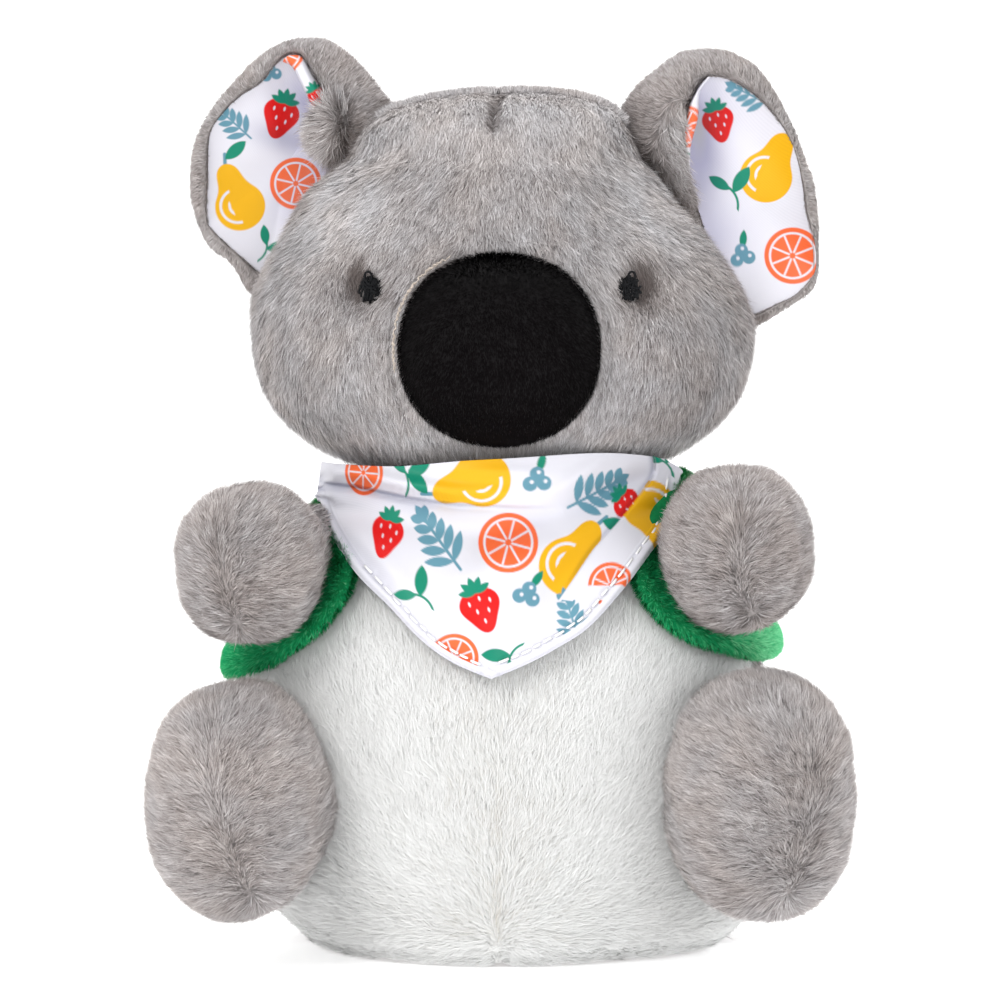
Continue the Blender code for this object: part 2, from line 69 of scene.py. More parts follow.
def step(a, b, x):
    t = np.clip((x - a) / (b - a), 0.0, 1.0)
    return t * t * (3 - 2 * t)


class Wave:
    """A smooth field of about -1 to 1, from a few plane waves."""

    def __init__(self, size, seed, n=7):
        r = np.random.default_rng(seed)
        d = unit(r.normal(size=(n, 3)))
        self.k = d * (2 * math.pi / size) * r.uniform(0.6, 1.5, (n, 1))
        self.p = r.uniform(0, 2 * math.pi, n)

    def __call__(self, p):
        return np.sin(p @ self.k.T + self.p).sum(axis=-1) / (0.75 * len(self.p))


class Blob:
    """A stuffed form: level sections of one roundness, own profile up and down."""

    def __init__(self, c, x, yf, yb, zu, zd, pu=2.0, pd=2.0, ph=2.0, ptop=None, fill=0.0):
        self.c = np.array(c, float)
        self.x, self.yf, self.yb, self.zu, self.zd = x, yf, yb, zu, zd
        self.pu, self.pd, self.ph, self.ptop, self.fill = pu, pd, ph, ptop, fill

    def value(self, p, off=0.0):
        d = p - self.c
        x, y, z = d[..., 0], d[..., 1], d[..., 2]
        q = z / (np.where(z > 0, self.zu, self.zd) + off)
        e = self.pd + (self.pu - self.pd) * step(-0.35, 0.35, q)
        if self.ptop:
            e = e + (self.ptop - self.pu) * step(0.66, 0.95, q)
        ry = np.where(y < 0, self.yf, self.yb) + off
        ry = ry * (1 + self.fill * np.exp(-((q - 0.66) / 0.17) ** 2))
        level = (np.abs(x) / (self.x + off)) ** self.ph + (np.abs(y) / ry) ** self.ph
        return level ** (e / self.ph) + np.abs(q) ** e

    def hit(self, d, off=0.0):
        lo, hi = np.zeros(len(d)), np.full(len(d), 160.0)
        for _ in range(34):
            m = 0.5 * (lo + hi)
            inside = self.value(self.c + d * m[:, None], off) < 1.0
            lo, hi = np.where(inside, m, lo), np.where(inside, hi, m)
        return self.c + d * lo[:, None]

    def face(self, x, z, off=0.0, side=-1):
        """y of the front or back face over x, z; nan where there is none."""
        x, z = np.broadcast_arrays(np.asarray(x, float), np.asarray(z, float))
        lo, hi = np.zeros(x.shape), np.full(x.shape, 160.0)
        for _ in range(34):
            m = 0.5 * (lo + hi)
            p = np.stack([x, self.c[1] + side * m, z], -1)
            inside = self.value(p, off) < 1.0
            lo, hi = np.where(inside, m, lo), np.where(inside, hi, m)
        flat = self.value(np.stack([x, np.full(x.shape, self.c[1]), z], -1), off) >= 1.0
        return np.where(flat, np.nan, self.c[1] + side * lo)


HEAD = Blob((0.9, -5, 160), 62.9, 47, 47, 53.9, 42, 1.64, 3.0, 2.15, 2.3, 0.115)
TORSO = Blob((0, -1, 60), 66, 57, 54, 56, 76, 2.3, 3.0, 2.45)


class Limb:
    """A paw or foot, drawn out towards where it is sewn to the torso."""

    def __init__(self, c, half, root, r_root, power=2.2):
        self.c, self.half = np.array(c, float), np.array(half, float)
        self.root, self.r, self.power = np.array(root, float), r_root, power

    def value(self, p, off=0.0):
        d = np.abs(p - self.c) / (self.half + off)
        ball = (d ** self.power).sum(-1) ** (1 / self.power) - 1.0
        a, ab = p - self.c, self.root - self.c
        t = np.clip((a @ ab) / (ab @ ab), 0, 1)
        rod = np.linalg.norm(a - t[..., None] * ab, axis=-1) / (self.r + off) - 1.0
        k = 0.22
        h = np.clip(0.5 + 0.5 * (rod - ball) / k, 0, 1)
        return 1.0 + rod * (1 - h) + ball * h - k * h * (1 - h)

    hit = Blob.hit


ARM_L = Limb((56.9, -48, 101.4), (18.5, 24, 20.7), (41, -12, 98), 14.0, 2.1)
ARM_R = Limb((-60.0, -48, 98.2), (18.2, 24, 19.9), (-42, -12, 97), 14.0)
LEG_L = Limb((62.6, -52.5, 42.6), (22.7, 25, 30.6), (44, -14, 38), 20.0, 2.35)
LEG_R = Limb((-63.2, -52.5, 41.2), (21.9, 25, 29.4), (-44, -14, 37), 20.0, 2.25)


# ---------------------------------------------------------------- raw meshes
def sphere_net(nu, nv, pole="Y"):
    """Unit directions and quads/triangles of a sphere, as triangles."""
    th = np.linspace(0, math.pi, nv + 1)[1:-1]
    ph = np.arange(nu) * 2 * math.pi / nu
    t, f = np.meshgrid(th, ph, indexing="ij")
    ring = np.stack([np.sin(t) * np.cos(f), np.sin(t) * np.sin(f), np.cos(t)], -1).reshape(-1, 3)
    d = np.vstack([ring, [[0, 0, 1]], [[0, 0, -1]]])
    top, bot = len(d) - 2, len(d) - 1
    i, j = np.meshgrid(np.arange(nv - 2), np.arange(nu), indexing="ij")
    a, b = i * nu + j, i * nu + (j + 1) % nu
    c, e = a + nu, b + nu
    tri = np.concatenate([np.stack([a, c, e], -1).reshape(-1, 3),
                          np.stack([a, e, b], -1).reshape(-1, 3)])
    j = np.arange(nu)
    k = (nv - 2) * nu
    tri = np.concatenate([tri, np.stack([np.full(nu, top), j, (j + 1) % nu], -1),
                          np.stack([np.full(nu, bot), k + (j + 1) % nu, k + j], -1)])
    if pole == "Y":      # the pole that was up now looks along -Y
        d = np.stack([d[:, 0], -d[:, 2], d[:, 1]], -1)
    return d, tri


def grid_net(nu, nv):
    u, v = np.meshgrid(np.linspace(0, 1, nu + 1), np.linspace(0, 1, nv + 1))
    i, j = np.meshgrid(np.arange(nv), np.arange(nu), indexing="ij")
    a = i * (nu + 1) + j
    tri = np.concatenate([np.stack([a, a + 1, a + nu + 2], -1).reshape(-1, 3),
                          np.stack([a, a + nu + 2, a + nu + 1], -1).reshape(-1, 3)])
    return u.ravel(), v.ravel(), tri


def normals(v, f):
    n = np.zeros_like(v)
    fn = np.cross(v[f[:, 1]] - v[f[:, 0]], v[f[:, 2]] - v[f[:, 0]])
    for k in range(3):
        np.add.at(n, f[:, k], fn)
    return unit(n)


def outward(v, f, centre):
    """Turn the triangles so that they face away from centre."""
    fn = np.cross(v[f[:, 1]] - v[f[:, 0]], v[f[:, 2]] - v[f[:, 0]])
    mid = v[f].mean(1) - centre
    return f[:, ::-1] if (fn * mid).sum() < 0 else f


def pick(v, f, mask):
    """Only the triangles in mask, with the unused points dropped."""
    f = f[mask]
    used = np.unique(f)
    new = np.full(len(v), -1)
    new[used] = np.arange(len(used))
    return used, new[f]


def thicken(v, f, n, t):
    """A closed skin: the outer sheet, the same sheet t further in, and its edge."""
    k = len(v)
    e = np.concatenate([f[:, [0, 1]], f[:, [1, 2]], f[:, [2, 0]]]).astype(np.int64)
    rim = e[~np.isin(e[:, 0] * k + e[:, 1], e[:, 1] * k + e[:, 0])]
    vv = np.vstack([v, v - n * (t if np.ndim(t) == 0 else np.asarray(t)[:, None])])
    wall = np.concatenate([np.stack([rim[:, 1], rim[:, 0], rim[:, 0] + k], -1),
                           np.stack([rim[:, 1], rim[:, 0] + k, rim[:, 1] + k], -1)])
    return vv, np.concatenate([f, f[:, ::-1] + k, wall])


def hemmed(v, f, n, t, mask):
    """Cloth of one layer whose triangles in mask are doubled, with closed edges."""
    k = len(v)
    e = np.concatenate([f[:, [0, 1]], f[:, [1, 2]], f[:, [2, 0]]]).astype(np.int64)
    code, back = e[:, 0] * k + e[:, 1], e[:, 1] * k + e[:, 0]
    rim = e[~np.isin(code, back)]
    vv = np.vstack([v, v - n * t])
    wall = np.concatenate([np.stack([rim[:, 1], rim[:, 0], rim[:, 0] + k], -1),
                           np.stack([rim[:, 1], rim[:, 0] + k, rim[:, 1] + k], -1)])
    ff = np.concatenate([f, f[mask][:, ::-1] + k, wall])
    used = np.unique(ff)
    new = np.full(len(vv), -1)
    new[used] = np.arange(len(used))
    return vv[used], new[ff], used % k


def mesh(name, v, f, material, body, uv=None, paint=None, custom=None, smooth=True):
    """v in mm, f triangles. uv per point goes to the OFBake map, paint to a colour."""
    me = bpy.data.meshes.new(name)
    me.vertices.add(len(v))
    me.vertices.foreach_set("co", (np.asarray(v, np.float64) * MM).astype(np.float32).ravel())
    me.loops.add(f.size)
    me.loops.foreach_set("vertex_index", f.astype(np.int32).ravel())
    me.polygons.add(len(f))
    me.polygons.foreach_set("loop_start", np.arange(0, f.size, 3, dtype=np.int32))
    me.update(calc_edges=True)
    if uv is not None:
        layer = me.uv_layers.new(name="OFBake")
        layer.data.foreach_set("uv", uv[f.ravel()].astype(np.float32).ravel())
    if paint is not None:
        att = me.color_attributes.new("Paint", "FLOAT_COLOR", "POINT")
        rgba = np.ones((len(v), 4), np.float32)
        rgba[:, :3] = paint
        att.data.foreach_set("color", rgba.ravel())
    me.polygons.foreach_set("use_smooth", np.full(len(f), smooth))
    if custom is not None:
        me.normals_split_custom_set_from_vertices(custom.astype(np.float32))
    me.materials.append(material)
    ob = bpy.data.objects.new(name, me)
    bpy.context.collection.objects.link(ob)
    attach(ob, body)
    return ob


# ----------------------------------------------------------------- materials
def new_mat(name):
    m = bpy.data.materials.new(name)
    m.use_nodes = True
    return m, m.node_tree, m.node_tree.nodes["Principled BSDF"]


def link(t, a, b):
    t.links.new(a, b)


def ramp(t, stops, fac):
    r = t.nodes.new("ShaderNodeValToRGB")
    el = r.color_ramp.elements
    while len(el) < len(stops):
        el.new(0.5)
    for e, (pos, col) in zip(el, stops):
        e.position, e.color = pos, (*col, 1.0)
    link(t, fac, r.inputs[0])
    return r.outputs[0]


def mix(t, kind, fac, a, b):
    m = t.nodes.new("ShaderNodeMix")
    m.data_type, m.blend_type = "RGBA", kind
    if isinstance(fac, float):
        m.inputs[0].default_value = fac
    else:
        link(t, fac, m.inputs[0])
    for s, x in ((m.inputs[6], a), (m.inputs[7], b)):
        if isinstance(x, tuple):
            s.default_value = (*x, 1.0)
        else:
            link(t, x, s)
    return m.outputs[2]


def pile_material(name, stops, root, rough=0.8, sheen=0.0, sheen_tint=(1, 1, 1), hue=False):
    """Colour from each strand's own tint (u), with painted shade darkening it towards its root (v)."""
    m, t, s = new_mat(name)
    uv = t.nodes.new("ShaderNodeUVMap")
    uv.uv_map = "OFBake"
    sep = t.nodes.new("ShaderNodeSeparateXYZ")
    link(t, uv.outputs[0], sep.inputs[0])
    tint = ramp(t, stops, sep.outputs[0])
    # painted shade between the strands: each strand darker towards its root
    shade = ramp(t, [(0.0, (root,) * 3), (0.45, (root + (1 - root) * 0.55,) * 3), (1.0, (1, 1, 1))],
                 sep.outputs[1])
    colour = mix(t, "MULTIPLY", 1.0, tint, shade)
    if hue:           # warmer and cooler places in the dyed pile
        co = t.nodes.new("ShaderNodeTexCoord")
        nz = t.nodes.new("ShaderNodeTexNoise")
        nz.inputs["Scale"].default_value = 70.0
        nz.inputs["Detail"].default_value = 3.0
        link(t, co.outputs["Object"], nz.inputs["Vector"])
        cast = ramp(t, [(0.36, (1.0, 0.974, 0.958)), (0.50, (0.99, 0.985, 0.988)), (0.64, (0.968, 0.982, 1.0))],
                    nz.outputs["Fac"])
        colour = mix(t, "MULTIPLY", 1.0, colour, cast)
    link(t, colour, s.inputs["Base Color"])
    s.inputs["Roughness"].default_value = rough
    s.inputs["Specular IOR Level"].default_value = 0.12
    if sheen:
        s.inputs["Sheen Weight"].default_value = sheen
        s.inputs["Sheen Roughness"].default_value = 0.4
        s.inputs["Sheen Tint"].default_value = (*sheen_tint, 1)
    return m


def cloth_back(name, a, b, scale=900.0, rough=0.9, bump=0.15):
    """Knitted or felted ground: fine mottling with a little relief."""
    m, t, s = new_mat(name)
    co = t.nodes.new("ShaderNodeTexCoord")
    n1 = t.nodes.new("ShaderNodeTexNoise")
    n1.inputs["Scale"].default_value = scale
    n1.inputs["Detail"].default_value = 4.0
    link(t, co.outputs["Object"], n1.inputs["Vector"])
    link(t, ramp(t, [(0.3, a), (0.7, b)], n1.outputs["Fac"]), s.inputs["Base Color"])
    s.inputs["Roughness"].default_value = rough
    s.inputs["Specular IOR Level"].default_value = 0.2
    bp = t.nodes.new("ShaderNodeBump")
    bp.inputs["Strength"].default_value = bump
    bp.inputs["Distance"].default_value = 0.0004
    link(t, n1.outputs["Fac"], bp.inputs["Height"])
    link(t, bp.outputs[0], s.inputs["Normal"])
    return m


GREY = pile_material("grey_pile", [(0.0, (0.165, 0.142, 0.136)), (0.25, (0.340, 0.312, 0.306)),
                                   (0.5, (0.490, 0.462, 0.458)), (0.75, (0.630, 0.604, 0.604)),
                                   (1.0, (0.86, 0.84, 0.845))], 0.58, hue=True)
WARM = pile_material("warm_grey_pile", [(0.0, (0.150, 0.126, 0.117)), (0.25, (0.305, 0.272, 0.262)),
                                        (0.5, (0.450, 0.414, 0.404)), (0.75, (0.595, 0.560, 0.550)),
                                        (1.0, (0.83, 0.80, 0.795))], 0.56, hue=True)
WHITE = pile_material("white_pile", [(0.0, (0.62, 0.590, 0.53)), (0.28, (0.775, 0.778, 0.768)),
                                     (0.5, (0.845, 0.85, 0.842)), (1.0, (0.93, 0.935, 0.93))], 0.96)
GREEN = pile_material("green_pile", [(0.0, (0.0, 0.125, 0.040)), (0.5, (0.002, 0.325, 0.105)),
                                     (0.8, (0.07, 0.56, 0.22)), (1.0, (0.24, 0.80, 0.40))], 0.50)
BLACK = pile_material("black_nap", [(0.0, (0.0018, 0.0014, 0.0016)), (0.5, (0.0034, 0.0026, 0.0029)),
                                    (1.0, (0.0085, 0.0068, 0.0076))], 0.7, 0.9)
BLACK.node_tree.nodes["Principled BSDF"].inputs["Specular IOR Level"].default_value = 0.06
GREY_SKIN = cloth_back("grey_backing", (0.26, 0.238, 0.232), (0.34, 0.315, 0.31))
WHITE_SKIN = cloth_back("white_backing", (0.80, 0.80, 0.79), (0.86, 0.86, 0.85))
GREEN_SKIN = cloth_back("green_backing", (0.001, 0.13, 0.04), (0.003, 0.20, 0.06))
BLACK_SKIN = cloth_back("black_backing", (0.003, 0.0026, 0.003), (0.007, 0.006, 0.0065), 1500.0)
FILL = cloth_back("fibre_fill", (0.70, 0.70, 0.68), (0.88, 0.88, 0.87), 350.0, 0.95, 0.6)
COTTON = cloth_back("pellet_cotton", (0.66, 0.63, 0.56), (0.76, 0.73, 0.66), 500.0, 0.9, 0.4)


def thread_material(name, colour, rough):
    m, t, s = new_mat(name)
    co = t.nodes.new("ShaderNodeTexCoord")
    w = t.nodes.new("ShaderNodeTexWave")
    w.inputs["Scale"].default_value = 1400.0
    w.inputs["Distortion"].default_value = 3.0
    link(t, co.outputs["Object"], w.inputs["Vector"])
    dark = tuple(c * 0.80 for c in colour)
    link(t, ramp(t, [(0.2, dark), (0.8, colour)], w.outputs["Fac"]), s.inputs["Base Color"])
    s.inputs["Roughness"].default_value = rough
    return m


WHITE_THREAD = thread_material("white_thread", (0.90, 0.90, 0.90), 0.6)
CREAM_THREAD = thread_material("cream_thread", (0.60, 0.52, 0.45), 0.8)
BLACK_THREAD = thread_material("black_thread", (0.0020, 0.0024, 0.0036), 0.55)
BLACK_THREAD.node_tree.nodes["Principled BSDF"].inputs["Specular IOR Level"].default_value = 0.17


def satin_material():
    """Smooth printed satin: the painted colour, a very fine weave and a soft gloss."""
    m, t, s = new_mat("printed_satin")
    a = t.nodes.new("ShaderNodeVertexColor")
    a.layer_name = "Paint"
    co = t.nodes.new("ShaderNodeTexCoord")
    w = t.nodes.new("ShaderNodeTexWave")
    w.wave_type, w.bands_direction = "BANDS", "DIAGONAL"
    w.inputs["Scale"].default_value = 900.0
    w.inputs["Distortion"].default_value = 0.6
    link(t, co.outputs["Object"], w.inputs["Vector"])
    weave = ramp(t, [(0.0, (0.955, 0.955, 0.96)), (1.0, (1, 1, 1))], w.outputs["Fac"])
    link(t, mix(t, "MULTIPLY", 1.0, a.outputs[0], weave), s.inputs["Base Color"])
    s.inputs["Roughness"].default_value = 0.44
    s.inputs["Specular IOR Level"].default_value = 0.22
    bp = t.nodes.new("ShaderNodeBump")
    bp.inputs["Strength"].default_value = 0.06
    bp.inputs["Distance"].default_value = 0.0001
    link(t, w.outputs["Fac"], bp.inputs["Height"])
    link(t, bp.outputs[0], s.inputs["Normal"])
    return m


SATIN = satin_material()

# ---------------------------------------------------------------------- pile
STRANDS = {}


def pile(name, v, f, body, material, dens, length, lean, comb, seed, width=0.20, clump=0.2,
         jitter=0.15, keep=None, tint=0.5, tint_by=None, wave=6.0, swirl=0.22, sink=0.25,
         parts=1, spread=0.10, spots=0.0, low=None, flat=0.74, tuft=9, stray=0.06, under=-0.30):
    """Strands of pile on triangles. Each is a narrow kite that leans as combed."""
    r = np.random.default_rng(seed)
    n_v = normals(v, f)
    a, b, c = v[f[:, 0]], v[f[:, 1]], v[f[:, 2]]
    area = 0.5 * np.linalg.norm(np.cross(b - a, c - a), axis=1)
    d = dens(v[f].mean(1)) if callable(dens) else dens
    idx = np.repeat(np.arange(len(f)), r.poisson(area * d * THIN))
    w1, w2 = r.random(len(idx)), r.random(len(idx))
    flip = w1 + w2 > 1
    w1, w2 = np.where(flip, 1 - w1, w1), np.where(flip, 1 - w2, w2)
    w0 = 1 - w1 - w2
    tri = f[idx]
    p = v[tri[:, 0]] * w0[:, None] + v[tri[:, 1]] * w1[:, None] + v[tri[:, 2]] * w2[:, None]
    n = unit(n_v[tri[:, 0]] * w0[:, None] + n_v[tri[:, 1]] * w1[:, None] + n_v[tri[:, 2]] * w2[:, None])
    if keep is not None:
        m = keep(p, n)
        p, n = p[m], n[m]
    k = len(p)
    t = comb(p, n)
    t = unit(t - n * (t * n).sum(1, keepdims=True))
    ang = Wave(wave, seed + 1)(p) * swirl + Wave(wave * 2.7, seed + 2)(p) * swirl * 0.8 + r.normal(0, jitter, k)
    t = t * np.cos(ang)[:, None] + np.cross(n, t) * np.sin(ang)[:, None]
    ln = (length(p, n) if callable(length) else np.full(k, float(length)))
    ln = ln * r.uniform(0.74, 1.14, k) * (1 + 0.07 * Wave(wave * 0.8, seed + 3)(p))
    le = (lean(p, n) if callable(lean) else np.full(k, float(lean)))
    le = np.radians(le) + r.normal(0, 0.11, k) + 0.07 * Wave(wave * 0.7, seed + 4)(p)
    loose = r.random(k) < stray           # single hairs that stand off the rest
    le = le - loose * r.uniform(0.15, 0.5, k)
    gap = np.zeros(k)
    if spots:      # small places where the pile opens, with painted shade making them darker
        gap = step(0.40, 0.95, Wave(3.4, seed + 7)(p) + 0.35 * Wave(13.0, seed + 8)(p))
        le = le - 0.25 * gap
    l1, l2 = le * 0.80, le * 1.13
    d1 = n * np.cos(l1)[:, None] + t * np.sin(l1)[:, None]
    d2 = n * np.cos(l2)[:, None] + t * np.sin(l2)[:, None]
    mid = p + d1 * (ln * 0.36)[:, None]
    tip = mid + d2 * (ln * 0.64)[:, None]
    every = max(5, int(tuft * THIN))
    lead = np.arange(0, k, every)
    tree = kdtree.KDTree(len(lead))
    for i, q in enumerate(p[lead]):
        tree.insert(q, i)
    tree.balance()
    near = np.fromiter((tree.find(q)[1] for q in p), int, k)
    g = lead[near]
    amount = clump * r.uniform(0.4, 1.3, k)
    tip = tip + (tip[g] - tip) * amount[:, None]
    mid = mid + (mid[g] - mid) * (amount * 0.3)[:, None]
    lead_tone = r.normal(0, 1, k)[g]
    side = unit(np.cross(d1, n))
    tw = r.uniform(-0.6, 0.6, k)
    side = side * np.cos(tw)[:, None] + n * np.sin(tw)[:, None]
    w = width(p, n) if callable(width) else width
    w = (w / math.sqrt(THIN) * r.uniform(0.7, 1.3, k) * 0.5)[:, None]
    vv = np.empty((k, 4, 3))
    vv[:, 0] = p - n * sink
    vv[:, 1], vv[:, 2] = mid - side * w, mid + side * w
    vv[:, 3] = tip
    if low is not None:
        vv[..., 2] = np.maximum(vv[..., 2], low)
    face_n = unit(np.cross(side, unit(tip - vv[:, 0])))
    face_n = np.where((face_n * n).sum(1, keepdims=True) < 0, -face_n, face_n)
    cust = unit(n * flat + face_n * (1 - flat) + side * r.normal(0, 0.10, (k, 1)))
    cz = cust[:, 2]       # what hangs under still gets light back from the floor
    cust[:, 2] = np.where(cz < under, under + 0.4 * (cz - under), cz)
    cust = unit(cust)
    u = tint + spread * (0.80 * r.normal(0, 1, k) + 0.42 * lead_tone) + 0.10 * loose
    u = u + 0.045 * Wave(wave * 2.0, seed + 5)(p) + 0.035 * Wave(wave * 0.9, seed + 6)(p) - spots * gap
    if tint_by is not None:
        u = u + tint_by(0.3 * mid + 0.7 * tip, n)
    u = np.clip(u, 0.01, 0.99)
    uv = np.empty((k, 4, 2))
    uv[:, :, 0] = u[:, None]
    uv[:, :, 1] = np.array([0.01, 0.36, 0.36, 0.99])
    made = []
    for q in range(parts):
        s = np.arange(k)[q::parts]
        base = (np.arange(len(s)) * 4)[:, None]
        ff = np.concatenate([base + np.array([0, 2, 1]), base + np.array([1, 2, 3])], 1).reshape(-1, 3)
        nm = name if parts == 1 else f"{name}_{'abcdef'[q]}"
        made.append(mesh(nm, vv[s].reshape(-1, 3), ff, material, body, uv=uv[s].reshape(-1, 2),
                         custom=np.repeat(cust[s], 4, axis=0)))
        STRANDS[nm] = len(s)
    return made


def skin(name, v, f, material, body, nodes, thick=0.8):
    """The backing under the pile, as a closed shell, standing for CAD nodes."""
    n = normals(v, f)
    vv, ff = thicken(v, f, n, thick)
    ob = mesh(name, vv, ff, material, body)
    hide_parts(*nodes)
    return ob


def solid(name, v, f, material, body, nodes):
    ob = mesh(name, v, f, material, body)
    if nodes:
        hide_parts(*nodes)
    return ob


# ---------------------------------------------------------------------- head
EYES = np.array([[31.1, 165.0], [-31.1, 165.0]])
NOSE_C = np.array([-0.2, 149.5])


def heights(rows):
    return np.array([at(600, row, -5.0)[1] for row in rows])


IN_L = (heights((322, 305, 285, 267, 230, 205, 185, 172, 150, 132, 112, 95)),
        np.array([0.3, 2.0, 4.2, 5.8, 7.0, 8.2, 7.0, 6.0, 4.9, 5.4, 3.0, 0.0]))
IN_R = (heights((310, 290, 270, 242, 212, 190)), np.array([0.0, 0.6, 2.2, 2.0, 0.6, 0.0]))


def drawn_in(x, z):
    """How far the head's sides come in: its upper left more than its right."""
    return np.where(x > 0, np.interp(z, *IN_L), -np.interp(z, *IN_R)) * step(8, 34, np.abs(x))


def head_value(p, off=0.0):
    q = np.array(p, float)
    q[..., 0] += drawn_in(q[..., 0], q[..., 2])
    return HEAD.value(q, off)


def head_form(d, off):
    p = HEAD.hit(d, off)
    p[:, 0] -= drawn_in(p[:, 0], p[:, 2])
    n = unit((p - HEAD.c) / np.array([HEAD.x ** 2, HEAD.yf ** 2, 46.0 ** 2]))
    x, y, z = p[:, 0], p[:, 1], p[:, 2]
    front = step(-20.0, -34.0, y)
    h = np.zeros(len(p))
    for s, (ex, ez) in zip((1, -1), EYES):
        # a dimple pulled in by the eye's thread, deeper on its outer side
        r2 = ((x - ex) / 5.2) ** 2 + ((z - ez) / 5.0) ** 2
        o2 = ((x - ex - s * 4.6) / 4.6) ** 2 + ((z - ez) / 6.0) ** 2
        h -= front * (1.7 * np.exp(-r2) + 2.0 * np.exp(-o2))
        h += front * 1.0 * np.exp(-(((x - ex) / 11.0) ** 2 + ((z - ez - 11) / 7.0) ** 2))
    # cheeks and brow
    h += front * 1.6 * np.exp(-(((np.abs(x) - 38) / 13.0) ** 2 + ((z - 143) / 13.0) ** 2))
    h -= front * 1.2 * np.exp(-(((np.abs(x) - 27) / 4.0) ** 2 + ((z - 152) / 14.0) ** 2))
    # the short dart in the forehead
    h -= 3.4 * np.exp(-((x - dart_x(z)) / 1.0) ** 2) * step(200.0, 203.5, z) * step(-5, -8, y)
    # the back panel stands a little above the face panel along the top seam
    h += 1.1 * step(-5.2, -2.0, y) * step(198, 207, z)
    h -= 0.5 * np.exp(-((y + 6.0) / 1.2) ** 2) * step(150, 190, z)
    h += 0.018 * x * step(185, 210, z)
    h -= 0.9 * np.exp(-(x / 1.2) ** 2) * step(-3, 4, y)
    return p + n * h[:, None]


def dart_x(z):
    return -0.6 - 0.16 * (212.0 - z)


def comb_down(p, n):
    """Down the face: fanning out on the brow, turning in below the cheeks."""
    x, y, z = p[:, 0], p[:, 1], p[:, 2]
    front = step(-5, -20, y)
    k = np.interp(z, [118, 130, 148, 165, 185, 205], [-0.020, -0.016, -0.007, 0.002, 0.006, 0.010])
    top = step(188, 210, z)
    t = np.stack([x * k * front * (1 - 0.6 * top), 0.1 - 1.3 * top, -1.0 + 0.2 * top], -1)
    # the pile lies away from the nose's edge
    dx, dz = x - NOSE_C[0], z - NOSE_C[1]
    near = np.exp(-((np.hypot(dx, dz) - 23) / 5.0) ** 2) * (y < -25)
    t = t + unit(np.stack([dx, np.zeros(len(p)), dz], -1)) * (near * 0.45)[:, None]
    # it is drawn into the eyes and into the dart
    for ex, ez in EYES:
        ox, oz = ex - x, ez - z
        e = np.exp(-(np.hypot(ox, oz) / 5.5) ** 2) * (y < -20)
        t = t + unit(np.stack([ox, np.zeros(len(p)), oz], -1)) * (e * 0.5)[:, None]
    ox = dart_x(z) - x
    e = np.exp(-(ox / 3.0) ** 2) * step(200.0, 203.0, z) * (y < -6)
    t = t + np.stack([np.tanh(ox / 0.5), np.zeros(len(p)), np.zeros(len(p))], -1) * (e * 0.9)[:, None]
    # over the back of the head it runs down too
    back = step(-6, 2, y)[:, None]
    behind = np.stack([np.zeros(len(p)), 0.15 + 1.3 * step(180, 205, z), -1.0 + 0.3 * step(190, 208, z)], -1)
    return t * (1 - back) + behind * back


SKIN_OFF = -2.0
dirs, tris = sphere_net(120, 96, "Y")
hv = head_form(dirs, SKIN_OFF)
tris = outward(hv, tris, HEAD.c)
mid = hv[tris].mean(1)


def nose_inside(x, z, grow=0.0):
    bx, bz = np.abs(x - NOSE_C[0]) / (24.2 + grow), np.abs(z - NOSE_C[1]) / (23.2 + grow)
    return (bx ** 2.2 + bz ** 2.2) ** (1 / 2.2)


for name, node, m in (("face_backing", "face_panel", mid[:, 1] < HEAD.c[1]),
                      ("head_back_backing_left", "head_back_left", (mid[:, 1] >= HEAD.c[1]) & (mid[:, 0] >= 0)),
                      ("head_back_backing_right", "head_back_right", (mid[:, 1] >= HEAD.c[1]) & (mid[:, 0] < 0))):
    used, ff = pick(hv, tris, m)
    skin(name, hv[used], ff, GREY_SKIN, "head", [node])


def head_keep(p, n):
    in_nose = (nose_inside(p[:, 0], p[:, 2], -0.6) < 1) & (p[:, 1] < -20)
    eye = np.zeros(len(p), bool)
    for ex, ez in EYES:
        eye |= (((p[:, 0] - ex) / 2.3) ** 2 + ((p[:, 2] - ez + 0.9) / 2.9) ** 2 < 1) & (p[:, 1] < -20)
    dart = (np.abs(p[:, 0] - dart_x(p[:, 2])) < 0.45) & (p[:, 2] > 202.0) & (p[:, 1] < -7)
    return ~in_nose & ~eye & ~dart


def head_len(p, n):
    ln = np.full(len(p), 4.4)
    front = p[:, 1] < -20
    rim = nose_inside(p[:, 0], p[:, 2])
    ln *= 1 - 0.40 * (rim < 1.10) * front
    for ex, ez in EYES:
        e = np.hypot(p[:, 0] - ex, p[:, 2] - ez)
        ln *= 1 - 0.55 * np.exp(-(e / 4.0) ** 2) * front
    ln *= 1 + 0.45 * step(133, 121, p[:, 2])
    dart = np.exp(-((p[:, 0] - dart_x(p[:, 2])) / 1.7) ** 2) * step(200.5, 203.0, p[:, 2]) * (p[:, 1] < -6)
    # short along the seam on top, so that it doesn't stand up there
    seam = np.exp(-((p[:, 1] + 4.5) / 5.0) ** 2) * step(185, 200, p[:, 2])
    return ln * (1 - 0.66 * dart) * (1 - 0.42 * seam)


